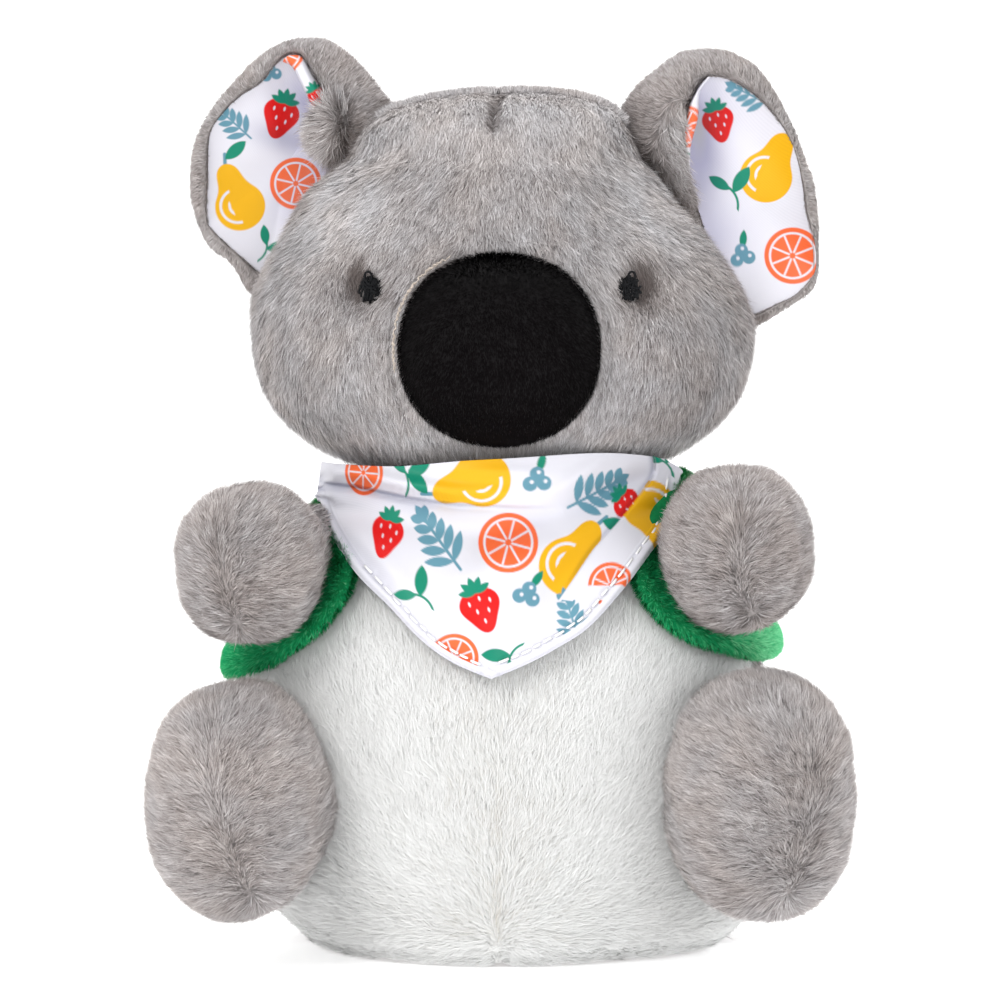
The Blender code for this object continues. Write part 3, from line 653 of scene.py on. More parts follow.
def head_tone_and_painted_light(p, n):
    x, y, z = p[:, 0], p[:, 1], p[:, 2]
    front = step(-10, -27, y)
    # painted light: lighter towards the top of the head and under the chin
    t = 0.05 * step(180, 198, z) + 0.09 * step(196, 203, z) + 0.24 * step(203.5, 207, z) * step(-30, -12, y) + 0.20 * step(133, 122, z) * step(2, -20, y)
    # painted highlight on the brows, stronger on the right one
    t = t + np.where(x < 0, 0.38, 0.28) * np.exp(-(((np.abs(x - 0.5) - 40) / 12.0) ** 2 + ((z - 181) / 11.0) ** 2)) * front
    # painted shade on the lower cheeks, most on the left
    t = t - (0.11 * step(20, 48, x) * step(176, 150, z) + 0.03 * step(-20, -50, x) * step(170, 150, z)) * step(0, -16, y)
    t = t + 0.05 * Wave(9.0, 301)(p) + 0.04 * Wave(4.0, 302)(p)
    # painted shade round each eye: in the dimple on its outer side, wider round it, and below its inner corner
    for s, (ex, ez) in zip((1, -1), EYES):
        e = ((x - ex - s * 3.1) / 2.7) ** 2 + ((z - ez - 0.1) / 4.2) ** 2
        t = t - 1.05 * np.exp(-e) * front
        e = ((x - ex - s * 4.5) / 6.0) ** 2 + ((z - ez) / 6.5) ** 2
        t = t - 0.26 * np.exp(-e) * front
        e = ((x - ex + s * 1.6) / 3.4) ** 2 + ((z - ez + 3.8) / 2.4) ** 2
        t = t - 0.20 * np.exp(-e) * front
    # painted shade, brownish, in the corner beside the nose
    t = t - 0.16 * np.exp(-(((x + 26.5) / 2.6) ** 2 + ((z - 164) / 7.0) ** 2)) * front
    # painted shade in the dart's groove
    dart = np.exp(-((x - dart_x(z)) / 1.65) ** 2) * step(200.6, 203.0, z) * (y < -6)
    return t - 0.66 * dart


front_m = mid[:, 1] < HEAD.c[1] + 1.0
used, ff = pick(hv, tris, front_m)
pile("face_pile", hv[used], ff, "head", GREY, 16.0, head_len, lambda p, n: 62 + 14 * step(187, 199, p[:, 2]) + 9 * step(199, 206, p[:, 2]), comb_down, 11, keep=head_keep,
     tint=0.56, tint_by=head_tone_and_painted_light, parts=3, wave=5.5, width=0.15, clump=0.16, spread=0.25, tuft=7, spots=0.05,
     jitter=0.26, swirl=0.26, flat=0.70)
used, ff = pick(hv, tris, ~front_m)
pile("head_back_pile", hv[used], ff, "head", GREY, lambda m: np.where(m[:, 2] > 190, 9.0, 4.0),
     lambda p, n: 4.6 - 1.8 * np.exp(-((p[:, 1] + 4.0) / 6.0) ** 2) * step(185, 200, p[:, 2]),
     66,
     comb_down, 21, width=lambda p, n: np.where(p[:, 2] > 190, 0.22, 0.33), tint=0.62, jitter=0.25,
     keep=lambda p, n: p[:, 1] > -5.5)

# along the seam on top the pile of the back panel stands up in a short soft rim
used, ff = pick(hv, tris, (np.abs(mid[:, 1] + 3.5) < 6.5) & (mid[:, 2] > 188))
pile("head_top_rim_pile", hv[used], ff, "head", GREY, 17.0, lambda p, n: np.where(p[:, 1] < -4.8, 3.0, 2.5), 34,
     lambda p, n: np.stack([0.01 * p[:, 0], np.where(p[:, 1] < -4.8, 1.0, -1.0), np.zeros(len(p))], -1), 22, width=0.16,
     tint=0.56, keep=lambda p, n: (p[:, 1] > -7.6) & (p[:, 1] < -2.4) & (np.abs(p[:, 0]) < 30) & (np.abs(p[:, 0] + 0.4) > 0.8), clump=0.12, spread=0.12, jitter=0.4,
     tint_by=lambda p, n: -0.30 * step(204, 194, p[:, 2]) + 0.06 * (p[:, 1] > -4.8), flat=0.42, under=0.0)

fill_d, fill_t = sphere_net(48, 32, "Y")


def filling(name, hit, body, node, amp=0.5, seed=3):
    v = hit(fill_d)
    f = outward(v, fill_t, v.mean(0))
    n = normals(v, f)
    v = v + n * (Wave(7.0, seed)(v) * amp)[:, None]
    return solid(name, v, f, FILL, body, [node])


filling("head_filling", lambda d: head_form(d, -6.0), "head", "head_stuffing")

# ---------------------------------------------------------------------- nose
nu, nv = 96, 40


def polar_net(n, rings):
    """Angle, radius and triangles of a disc."""
    a = np.tile(np.arange(n) * 2 * math.pi / n, rings)
    r = np.repeat(np.arange(1, rings + 1) / rings, n)
    ang, rad = np.concatenate([[0.0], a]), np.concatenate([[0.0], r])
    i, j = np.meshgrid(np.arange(rings - 1), np.arange(n), indexing="ij")
    p, q = 1 + i * n + j, 1 + i * n + (j + 1) % n
    tri = np.concatenate([np.stack([p, p + n, q + n], -1).reshape(-1, 3),
                          np.stack([p, q + n, q], -1).reshape(-1, 3)])
    j = np.arange(n)
    return ang, rad, np.concatenate([np.stack([np.zeros(n, int), 1 + j, 1 + (j + 1) % n], -1), tri])


def nose_dome(ang, rad, depth, inset, sink=0.0):
    cx, cz = np.cos(ang) * rad, np.sin(ang) * rad
    box = (np.abs(cx) ** 2.2 + np.abs(cz) ** 2.2) ** (1 / 2.2)
    k = np.where(box > 1e-6, rad / np.maximum(box, 1e-6), 1.0)
    x = NOSE_C[0] + cx * k * (24.2 - inset)
    z = NOSE_C[1] + cz * k * (23.2 - inset)
    d = unit(np.stack([x, np.full(len(x), -60.0 - HEAD.c[1]), z - HEAD.c[2]], -1))
    base = HEAD.face(x, z, 0.0)
    y = base + sink - depth * (1 - rad ** 2.7) ** 0.56
    # faint seam up the lower half
    y = y + 0.35 * np.exp(-((x - NOSE_C[0]) / 0.7) ** 2) * step(150, 142, z) * (rad < 0.97)
    return np.stack([x, y, z], -1)


ang, rad, nt = polar_net(120, 44)
rad_e = np.sin(rad * math.pi / 2) ** 0.9
nosev = nose_dome(ang, rad_e, 17.5, 0.6, 1.6)
nt = outward(nosev, nt, np.array([0, 0, 150.0]))
skin("nose_cover_skin", nosev, nt, BLACK_SKIN, "head", ["nose_cover"], 0.7)
pile("nose_nap", nosev, nt, "head", BLACK, 13.0, lambda p, n: 1.2 + 0.9 * step(0.90, 1.0, nose_inside(p[:, 0], p[:, 2])), 50,
     lambda p, n: np.tile([0.05, 0, -1.0], (len(p), 1)), 31, width=0.16, clump=0.2, wave=9.0, tint=0.45, jitter=0.3, sink=0.1, spread=0.2)
ang2, rad2, nt2 = polar_net(48, 14)
fa = nose_dome(ang2, np.sin(rad2 * math.pi / 2), 13.0, 3.5, 0.6)
nfill_t = outward(fa, nt2, np.array([0, 0, 150.0]))
fv, ft = thicken(fa, nfill_t, np.tile([0.0, -1.0, 0.0], (len(fa), 1)),
                 np.maximum(HEAD.face(fa[:, 0], fa[:, 2], 0.0) + 1.4 - fa[:, 1], 0.4))
solid("nose_filling", fv, ft, FILL, "head", ["nose_stuffing"])


# --------------------------------------------------------------------- tubes
def tube(path, radius, sides=8, cap=True):
    """A round tube of the given radius (or radii) along path, closed at its ends."""
    path = np.asarray(path, float)
    k = len(path)
    rad = np.broadcast_to(np.asarray(radius, float), (k,))
    t = unit(np.gradient(path, axis=0))
    ref = np.array([0.0, -1.0, 0.1])
    a = np.empty_like(t)
    prev = ref - t[0] * (ref @ t[0])
    if np.linalg.norm(prev) < 1e-3:
        prev = np.array([1.0, 0, 0])
    for i in range(k):
        prev = prev - t[i] * (prev @ t[i])
        prev = prev / np.linalg.norm(prev)
        a[i] = prev
    b = np.cross(t, a)
    an = np.arange(sides) * 2 * math.pi / sides
    v = path[:, None] + (a[:, None] * np.cos(an)[None, :, None] + b[:, None] * np.sin(an)[None, :, None]) * rad[:, None, None]
    v = v.reshape(-1, 3)
    i, j = np.meshgrid(np.arange(k - 1), np.arange(sides), indexing="ij")
    p, q = i * sides + j, i * sides + (j + 1) % sides
    f = np.concatenate([np.stack([p, q, q + sides], -1).reshape(-1, 3),
                        np.stack([p, q + sides, p + sides], -1).reshape(-1, 3)])
    if cap:
        v = np.vstack([v, path[:1], path[-1:]])
        j = np.arange(sides)
        f = np.concatenate([f, np.stack([np.full(sides, k * sides), (j + 1) % sides, j], -1),
                            np.stack([np.full(sides, k * sides + 1), (k - 1) * sides + j,
                                      (k - 1) * sides + (j + 1) % sides], -1)])
    return v, f


def join(parts):
    vs, fs, o = [], [], 0
    for v, f in parts:
        vs.append(v)
        fs.append(f + o)
        o += len(v)
    return np.vstack(vs), np.concatenate(fs)


def curve(points, n, closed=False):
    """n points on a Catmull-Rom curve through the given ones."""
    p = np.asarray(points, float)
    if closed:
        t = np.linspace(0, len(p), n, endpoint=False)
        i = t.astype(int)
        g = [p[(i + k) % len(p)] for k in (-1, 0, 1, 2)]
    else:
        q = np.vstack([2 * p[0] - p[1], p, 2 * p[-1] - p[-2]])
        t = np.linspace(0, len(p) - 1, n)
        i = np.minimum(t.astype(int), len(p) - 2)
        g = [q[i + k] for k in range(4)]
    f = (t - i)[:, None]
    a, b, c, d = g
    return 0.5 * (2 * b + (c - a) * f + (2 * a - 5 * b + 4 * c - d) * f ** 2 + (3 * b - a - 3 * c + d) * f ** 3)


# pale edge stitching round the nose, showing at its upper left: thin frayed threads
arc = np.array([nose_dome(np.array([q]), np.array([1.0]), 0.0, -1.15, -1.3)[0]
                for q in np.linspace(math.radians(114), math.radians(196), 46)])
stitch_parts = []
rs = np.random.default_rng(15)
for i in range(3):
    line = curve(arc, 230)
    away = unit(line - np.array([NOSE_C[0], line[:, 1].mean(), NOSE_C[1]]))
    k_ = np.arange(230)
    wob = 0.22 * np.sin(k_ * (0.33 + 0.07 * i) + i * 1.9) + 0.14 * np.sin(k_ * 0.91 + i)
    line = line + away * wob[:, None] + np.array([0, -1.0, 0]) * (0.10 * i - 0.25 + 0.30 * np.sin(k_ * 0.13 + i * 2.1))[:, None]
    a_, b_ = rs.integers(0, 30), rs.integers(185, 230)
    stitch_parts.append(tube(line[a_:b_], 0.12 + 0.04 * np.sin(k_[a_:b_] * 0.8), 6))
tv, tf = join(stitch_parts)
solid("nose_edge_stitching", tv, tf, CREAM_THREAD, "head", [])

# ---------------------------------------------------------------------- eyes
r = np.random.default_rng(5)
for s, (ex, ez), name, node in ((1, EYES[0], "eye_embroidery_left", "eye_left"),
                                (-1, EYES[1], "eye_embroidery_right", "eye_right")):
    parts = []
    base_y = float(HEAD.face(ex + float(drawn_in(ex, ez)), ez, 0.0)) + 2.6
    ez = ez - 0.9

    def bed(x_, z_, up):
        q = ((x_ - ex) / 3.1) ** 2 + ((z_ - ez) / 3.5) ** 2
        return base_y - up - 1.7 * np.sqrt(np.maximum(0.0, 1 - q * 0.9))

    for i in range(12):       # upright satin stitches, uneven at their ends
        q = -1 + 2 * i / 11
        t = np.linspace(-1, 1, 11)
        hi, lo = math.sqrt(max(0.12, 1 - (q * 0.94) ** 2)) + r.normal(0, 0.09, 2)
        xx = ex + q * 2.5 + 0.20 * np.sin(t * 3 + i) + 0.12 * r.normal()
        zz = ez + np.where(t > 0, t * 3.1 * hi, t * 3.1 * lo)
        parts.append(tube(np.stack([xx, bed(xx, zz, 0.0) + r.normal(0, 0.07), zz], -1), 0.31 + 0.04 * np.sin(t * 4), 7))
    for i in range(16):       # shorter ones laid across them
        t = np.linspace(-1, 1, 9)
        a_ = r.uniform(-0.75, 0.75) + math.pi / 2 * (i % 2)
        mx, mz = ex + r.uniform(-1.5, 1.5), ez + r.uniform(-2.1, 2.1)
        xx, zz = mx + t * math.cos(a_) * 0.95, mz + t * math.sin(a_) * 0.95
        parts.append(tube(np.stack([xx, bed(xx, zz, 0.34) - 0.10 * (1 - t * t), zz], -1), 0.20, 7))
    # the little loop of thread on top, on the outer side
    t = np.linspace(0, 1, 27)
    th = (0.06 + 0.86 * t) * 2 * math.pi - math.pi / 2
    loop = np.stack([ex + s * 0.55 + 0.85 * np.cos(th), base_y - 1.6 - 0.5 * np.sin(t * math.pi),
                     ez + 2.9 + 1.25 * np.sin(th)], -1)
    parts.append(tube(loop, 0.29, 7))
    ev, ef = join(parts)
    solid(name, ev, ef, BLACK_THREAD, "head", [node])

# --------------------------------------------------------------------- torso
td, tt = sphere_net(144, 110, "Z")
td = td * np.array([1, 1, 1])


def torso_form(d, off):
    p = TORSO.hit(d, off)
    x, y, z = p[:, 0], p[:, 1], p[:, 2]
    n = unit((p - TORSO.c) / np.array([66.0 ** 2, 56.0 ** 2, 62.0 ** 2]))
    phi = np.degrees(np.arctan2(x, -(y - TORSO.c[1])))
    h = -1.2 * np.exp(-((np.abs(phi) - 74) / 1.6) ** 2) * step(8, 16, z)
    h -= 0.9 * np.exp(-(x / 1.0) ** 2) * (y > 0)
    h -= 0.8 * np.exp(-(x / 2.0) ** 2) * (y < 0) * step(52, 30, z)
    h -= 0.8 * np.exp(-((z - 17.0) / 1.6) ** 2) * (np.abs(phi) > 72)
    h += 0.6 * Wave(46.0, 77)(p)
    p = p + n * h[:, None]
    # the seat spreads under its own weight, more to one side
    low_ = step(34, 7, z) * (1 - 0.35 * step(7, 0, z))
    p[:, 0] += low_ * (1.6 + 3.2 * np.maximum(p[:, 0], 0) / 60.0)
    p[:, 1] -= low_ * 2.5 * (y < 0) * np.exp(-(x / 60.0) ** 2)
    s2 = np.sin(np.radians(2 * phi)) ** 2
    p[:, :2] *= (1 - 0.075 * s2 * step(26, 4, z))[:, None]
    p[:, 2] += 1.5 * step(6, 0, z) * step(-22, -46, y) + 2.4 * step(10, 0, z) * step(-34, -48, x) * step(25, 5, y)
    p[:, 0] += 1.8 * step(34, 50, x) * step(14, 5, z)
    p[:, 2] = np.maximum(p[:, 2], 0.9 if off < 0 else 0.3)
    return p


TSKIN = -2.6
tv_all = torso_form(td, TSKIN)
tt = outward(tv_all, tt, TORSO.c)
tmid = tv_all[tt].mean(1)
phi_m = np.degrees(np.arctan2(tmid[:, 0], -(tmid[:, 1] - TORSO.c[1])))
is_base = (tmid[:, 2] < 2.2) & (np.abs(normals(tv_all, tt)[tt].mean(1)[:, 2]) > 0.93)
is_front = (np.abs(phi_m) < 74 + 14 * step(44, 2, tmid[:, 2])) & ~is_base
for name, node, m, mat, slot in (
        ("belly_backing", "belly_panel", is_front, WHITE_SKIN, "white_plush"),
        ("back_backing_left", "back_panel_left", ~is_front & ~is_base & (tmid[:, 0] >= 0), GREY_SKIN, "grey_plush"),
        ("back_backing_right", "back_panel_right", ~is_front & ~is_base & (tmid[:, 0] < 0), GREY_SKIN, "grey_plush"),
        ("base_backing", "base_panel", is_base, GREY_SKIN, "grey_plush")):
    used, ff = pick(tv_all, tt, m)
    skin(name, tv_all[used], ff, mat, "torso", [node])


# ------------------------------------------------------------------- bandana
def bandana_drape(x, z):
    """Front face of the cloth over the chest, and round the neck above it."""
    chest = TORSO.face(x, z, 5.6)
    neck = -2.5 - 42.5 * np.sqrt(np.maximum(0.0, 1 - (x / 50.0) ** 2))
    chest = np.where(np.isnan(chest), 1e3, chest)
    k = 4.0
    h = np.clip(0.5 + 0.5 * (neck - chest) / k, 0, 1)
    return neck * (1 - h) + chest * h - k * h * (1 - h)


def on_bandana(px, py):
    px, py = np.asarray(px, float), np.asarray(py, float)
    y = np.full(px.shape, -48.0)
    for _ in range(6):
        x, z = at(px, py, y)
        y = bandana_drape(x, z)
    return x, y, z


B_TOP = [(321, 462), (360, 465), (402, 466), (460, 461), (514, 458), (595, 453), (640, 455), (664, 459)]
B_LEFT = [(321, 462), (318, 482), (317, 502), (328, 529), (354, 570), (388, 605), (420, 639), (452, 662), (491, 679)]
B_RIGHT = [(664, 459), (680, 476), (671, 522), (647, 558), (621, 592), (589, 627), (557, 648), (527, 664), (491, 679)]


def bandana_px(u, v):
    """View point of cloth point u across, v down (an even cut of the triangle)."""
    lp = curve(B_LEFT, 200)
    rp = curve(B_RIGHT, 200)
    tp = curve(B_TOP, 200)
    q = v * 199
    i = np.minimum(q.astype(int), 198)
    fr = (q - i)[:, None]
    le = lp[i] * (1 - fr) + lp[i + 1] * fr
    ri = rp[i] * (1 - fr) + rp[i + 1] * fr
    q = u * 199
    i = np.minimum(q.astype(int), 198)
    fr = (q - i)[:, None]
    to = tp[i] * (1 - fr) + tp[i + 1] * fr
    chord = np.array(B_TOP[0]) * (1 - u)[:, None] + np.array(B_TOP[-1]) * u[:, None]
    p = le * (1 - u)[:, None] + ri * u[:, None]
    return p + (to - chord) * ((1 - v) ** 2)[:, None]


def segment(px, py, a, b):
    """Distance to the segment a-b in view points, and the share along it."""
    a, b = np.array(a, float), np.array(b, float)
    ab = b - a
    t = np.clip(((px - a[0]) * ab[0] + (py - a[1]) * ab[1]) / (ab @ ab), 0, 1)
    return np.hypot(px - a[0] - t * ab[0], py - a[1] - t * ab[1]), t


# creases: a polyline in the view, how wide and deep, and where it fades
CREASE = [(320, 482), (356, 486), (412, 498), (453, 504), (520, 507)]
SOFT = (((322, 512), (398, 596), 11, -1.5), ((334, 512), (430, 612), 13, 1.2),
        ((664, 468), (560, 512), 10, -1.7), ((672, 486), (560, 540), 12, 1.6),
        ((560, 512), (462, 548), 14, -1.2), ((560, 536), (440, 590), 15, 1.1),
        ((610, 456), (540, 500), 9, 1.1), ((585, 590), (500, 655), 13, 1.0), ((470, 610), (500, 660), 12, -0.8),
        ((430, 470), (560, 474), 8, 0.9), ((600, 520), (520, 610), 12, -0.8))


def crease_side(px, py):
    """Signed height above the main crease in view points, and its depth."""
    xs, ys = np.array(CREASE, float).T
    return np.interp(px, xs, ys) - py, np.interp(px, [318, 330, 400, 470, 560], [0.5, 1.0, 0.9, 0.45, 0.0])


def gather(px, py):
    """Tight folds running out from the gathered left corner."""
    a, r_ = np.arctan2(py - 493, px - 306), np.hypot(px - 306, py - 493)
    return np.exp(-(np.maximum(r_ - 10, 0) / 17.0) ** 2), np.sin(a * 11.0 + 0.6)


def bandana_folds(px, py):
    """How far the cloth stands forward (mm) at a view point."""
    h = np.zeros(px.shape)
    d, k = crease_side(px, py)
    h += k * (3.2 * np.exp(-((d - 13) / 9.0) ** 2) - 2.2 * np.exp(-((d + 2.5) / 4.0) ** 2) * step(2.5, -1.0, d)
              + 1.0 * np.exp(-((d + 17) / 9.0) ** 2))
    for a, b, w, k in SOFT:
        dd, t = segment(px, py, a, b)
        h += k * np.exp(-(dd / w) ** 2) * np.sin(np.clip(t, 0.03, 0.97) * math.pi) ** 0.7
    g, wv = gather(px, py)
    return h + 1.5 * g * wv


def bandana_shade(px, py):
    """Share of light lost in the folds."""
    d, k = crease_side(px, py)
    s = k * 0.40 * np.exp(-(np.abs(d + 1.0) / 2.4) ** 1.6) + k * 0.12 * np.exp(-((d + 8) / 8.0) ** 2)
    for a, b, w, q in SOFT:
        if q < 0:
            dd, t = segment(px, py, a, b)
            s = s + 0.085 * -q * np.exp(-(dd / (w * 0.9)) ** 2) * np.sin(np.clip(t, 0.03, 0.97) * math.pi) ** 0.7
    g, wv = gather(px, py)
    return np.clip(s + 0.22 * g * np.clip(0.25 - wv, 0, 1), 0, 0.55)


# ---- print: own motifs in the colours of such a cloth
YELLOW, ORANGE, RED = (0.74, 0.39, 0.005), (0.78, 0.130, 0.038), (0.64, 0.005, 0.005)
LEAF, SLATE, PALE = (0.003, 0.215, 0.130), (0.110, 0.265, 0.340), (0.665, 0.660, 0.715)


class Cloth:
    """Paints motifs on points (u, v) of a cloth, in mm."""

    def __init__(self, u, v, ground=PALE):
        self.u, self.v = u, v
        self.c = np.tile(np.array(ground, float), (len(u), 1))

    def put(self, sd, colour, soft=0.13):
        a = np.clip(0.5 - sd / (2 * soft), 0, 1)[:, None]
        self.c = self.c * (1 - a) + np.array(colour) * a

    def local(self, cx, cy, rot, k):
        c, s = math.cos(math.radians(rot)), math.sin(math.radians(rot))
        x, y = (self.u - cx) / k, (self.v - cy) / k
        return x * c + y * s, -x * s + y * c, k

    @staticmethod
    def oval(x, y, cx, cy, a, b, rot=0.0):
        c, s = math.cos(math.radians(rot)), math.sin(math.radians(rot))
        dx, dy = x - cx, y - cy
        px, py = dx * c + dy * s, -dx * s + dy * c
        q = np.hypot(px / a, py / b)
        return (q - 1) * np.where(q > 1e-6, np.hypot(px, py) / np.maximum(q, 1e-6), min(a, b))

    @staticmethod
    def line(x, y, a, b, w):
        ax, ay = a
        bx, by = b
        t = np.clip(((x - ax) * (bx - ax) + (y - ay) * (by - ay)) / ((bx - ax) ** 2 + (by - ay) ** 2), 0, 1)
        return np.hypot(x - ax - t * (bx - ax), y - ay - t * (by - ay)) - w

    @staticmethod
    def lens(x, y, cx, cy, length, width, rot):
        """A leaf: where two equal circles cross."""
        c, s = math.cos(math.radians(rot)), math.sin(math.radians(rot))
        dx, dy = x - cx, y - cy
        px, py = dx * c + dy * s, -dx * s + dy * c
        px = px - length / 2
        h, w = length / 2, width / 2
        rr = (h * h + w * w) / (2 * w)
        o = rr - w
        return np.maximum(np.hypot(px, py - o), np.hypot(px, py + o)) - rr

    @staticmethod
    def blend(a, b, k):
        h = np.clip(0.5 + 0.5 * (b - a) / k, 0, 1)
        return b * (1 - h) + a * h - k * h * (1 - h)

    def pear(self, cx, cy, rot, k):
        x, y, k = self.local(cx, cy, rot, k)
        body = self.blend(self.oval(x, y, 0, -1.5, 3.1, 3.0), self.oval(x, y, 0.2, 2.2, 1.5, 1.9), 1.6)
        self.put(self.line(x, y, (0.3, 3.7), (0.9, 5.2), 0.22) * k, SLATE)
        self.put(self.lens(x, y, 0.7, 4.6, 3.4, 1.5, 18) * k, LEAF)
        self.put(body * k, YELLOW)
        for q in (0.0, 1.0):
            ring = np.abs(self.oval(x, y, -0.2, -1.3, 2.15 - q * 1.1, 2.1 - q * 1.0)) - 0.16
            self.put(np.maximum(ring, x + 0.5 + 0.5 * q) * k, PALE)

    def slice(self, cx, cy, rot, k, half=False):
        x, y, k = self.local(cx, cy, rot, k)
        disc = self.oval(x, y, 0, 0, 3.7, 3.7)
        cut = -y if half else np.full(x.shape, -9.0)
        self.put(np.maximum(disc, cut) * k, ORANGE)
        self.put(np.maximum(np.abs(disc + 0.75) - 0.14, cut) * k, PALE)
        for i in range(8):
            a = math.radians(i * 45 + 22)
            ray = self.line(x, y, (0.5 * math.cos(a), 0.5 * math.sin(a)), (2.7 * math.cos(a), 2.7 * math.sin(a)), 0.12)
            self.put(np.maximum(ray, cut) * k, PALE)

    def strawberry(self, cx, cy, rot, k):
        x, y, k = self.local(cx, cy, rot, k)
        body = self.blend(self.oval(x, y, 0, 0.6, 2.35, 1.9), self.oval(x, y, 0, -1.6, 1.0, 1.3), 1.9)
        self.put(body * k, RED)
        for sx, sy in ((-1.1, 0.9), (0.2, 1.2), (1.3, 0.7), (-0.5, -0.2), (0.8, -0.4), (0.0, -1.5)):
            self.put(self.oval(x, y, sx, sy, 0.13, 0.28) * k, PALE)
        for a in (20, 60, 95, 130, 165):
            self.put(self.lens(x, y, 0, 1.9, 2.0, 0.85, a) * k, LEAF)

    def fern(self, cx, cy, rot, k):
        x, y, k = self.local(cx, cy, rot, k)
        self.put(self.line(x, y, (0, -3.4), (0.3, 3.2), 0.16) * k, SLATE)
        for i in range(5):
            yy = -2.3 + i * 1.35
            ln = 3.3 - i * 0.42
            for s in (-1, 1):
                self.put(self.lens(x, y, 0.05 * i, yy, ln, 1.05, 90 - s * (52 - i * 3)) * k, SLATE)
        self.put(self.lens(x, y, 0.25, 2.6, 2.4, 1.0, 86) * k, SLATE)

    def twin(self, cx, cy, rot, k):
        x, y, k = self.local(cx, cy, rot, k)
        self.put((np.abs(np.hypot(x + 2.2, y) - 3.0) - 0.17 + 9 * (np.abs(y) > 2.4) + 9 * (x < 0)) * k, LEAF)
        self.put(self.lens(x, y, 0.7, 0.4, 4.2, 1.9, 28) * k, LEAF)
        self.put(self.lens(x, y, 0.5, 1.0, 3.4, 1.5, 118) * k, LEAF)

    def berries(self, cx, cy, rot, k):
        x, y, k = self.local(cx, cy, rot, k)
        self.put(self.lens(x, y, 0.2, 1.0, 2.8, 1.1, 75) * k, LEAF)
        for bx, by in ((-0.9, -0.5), (0.9, -0.4), (0.0, 0.8)):
            self.put(self.oval(x, y, bx, by, 0.98, 0.98) * k, SLATE)
            self.put(self.oval(x, y, bx + 0.2, by + 0.25, 0.26, 0.26) * k, PALE)


def bandana_print(u, v):
    c = Cloth(u, v)
    for kind, x, y, rot, k in (
            ("slice", -36.0, -1.5, 20, 1.6), ("twin", -24.5, -3.5, 10, 1.9), ("pear", -7.5, -4.0, 112, 2.3),
            ("berries", 9.0, -3.0, 0, 1.9), ("fern", 23.5, -6.5, -62, 2.25),
            ("strawberry", -29.0, -17.0, -16, 1.95), ("fern", -14.5, -19.0, 40, 2.3), ("slice", 2.0, -18.5, 8, 1.95),
            ("pear", 18.5, -21.5, -34, 2.35),
            ("twin", -19.5, -33.0, 60, 1.8), ("strawberry", -4.5, -34.5, 20, 2.1), ("berries", 6.5, -31.0, -20, 1.8),
            ("fern", 17.5, -37.5, 20, 1.7), ("slice", -11.0, -46.5, 0, 1.6), ("twin", 4.0, -46.0, 150, 1.7),
            ("strawberry", 33.5, -10.0, 40, 1.7), ("slice", 30.0, -31.0, 0, 1.6)):
        getattr(c, kind)(x, y, rot, k)
    return c.c


step_mm = 0.23
bu, bv, bt = grid_net(int(88 / step_mm), int(54 / step_mm))
bv_cut = bv * 0.997
pp = bandana_px(bu, bv_cut)
bx, by, bz = on_bandana(pp[:, 0], pp[:, 1])
by = by - bandana_folds(pp[:, 0], pp[:, 1]) + 5.5 * step(340, 317, pp[:, 0]) ** 2 * step(540, 512, pp[:, 1])
band_v = np.stack([bx, by, bz], -1)
# the cloth's own flat coordinates, near enough: arc round the neck, and down
flat_u, flat_v = bx * (1 + 0.00008 * bx ** 2), (bz - 121.0) * 1.05
paint = bandana_print(flat_u, flat_v)
hem_v = band_v.copy()
bt = outward(band_v, bt, np.array([0, 20.0, 100.0]))
bn = normals(band_v, bt)


def edge_distance(px, py, line):
    """Distance in view points to a polyline."""
    best = np.full(px.shape, 1e9)
    for a, b in zip(line[:-1], line[1:]):
        best = np.minimum(best, segment(px, py, a, b)[0])
    return best


def inside_poly(px, py, poly):
    res = np.zeros(px.shape, bool)
    j = len(poly) - 1
    for i in range(len(poly)):
        xi, yi = poly[i]
        xj, yj = poly[j]
        c = ((yi > py) != (yj > py)) & (px < (xj - xi) * (py - yi) / (yj - yi + 1e-12) + xi)
        res ^= c
        j = i
    return res


dl = edge_distance(pp[:, 0], pp[:, 1], curve(B_LEFT[2:], 30))
dr = edge_distance(pp[:, 0], pp[:, 1], curve(B_RIGHT[1:], 30))
# the strip folded over at the right: its inner border, from the top down
S_LINE = [(650, 440), (654, 473), (634, 501), (616, 524), (593, 550), (574, 578), (556, 604)]
poly = S_LINE + [(600, 660), (760, 600), (760, 440)]
ds = edge_distance(pp[:, 0], pp[:, 1], curve(S_LINE, 40))
ds = np.where(inside_poly(pp[:, 0], pp[:, 1], poly), ds, -ds)
fade = step(604, 560, pp[:, 1])
strip = step(-0.7, 0.7, ds) * (ds > -3) * (fade > 0.02)
hem = np.maximum(step(14, 11, dl) * 0.40, step(16, 13, dr) * 0.45)
hem = hem + 0.75 * step(-1.5, 2.5, ds) * fade
# the edges roll back a little
hem = hem - 1.1 * np.exp(-(np.minimum(dl, dr) / 2.6) ** 2)
band_v = band_v + bn * hem[:, None]
# the stitch lines draw the cloth in, more at each stitch's ends
row = np.maximum(np.exp(-((dl - 10) / 2.4) ** 2), np.exp(-((dr - 12) / 2.6) ** 2))
band_v = band_v - bn * (0.42 * row)[:, None]
# the folded strip shows the print the other way up
paint2 = Cloth((pp[:, 0] - 500) * 0.25, (500 - pp[:, 1]) * 0.25)
paint2.pear(38.0, -4.5, 205, 2.1)
paint2.twin(40.5, 8.0, 40, 1.5)
paint2.slice(27.5, -21.5, 0, 1.5, True)
paint = paint * (1 - strip[:, None]) + paint2.c * strip[:, None]
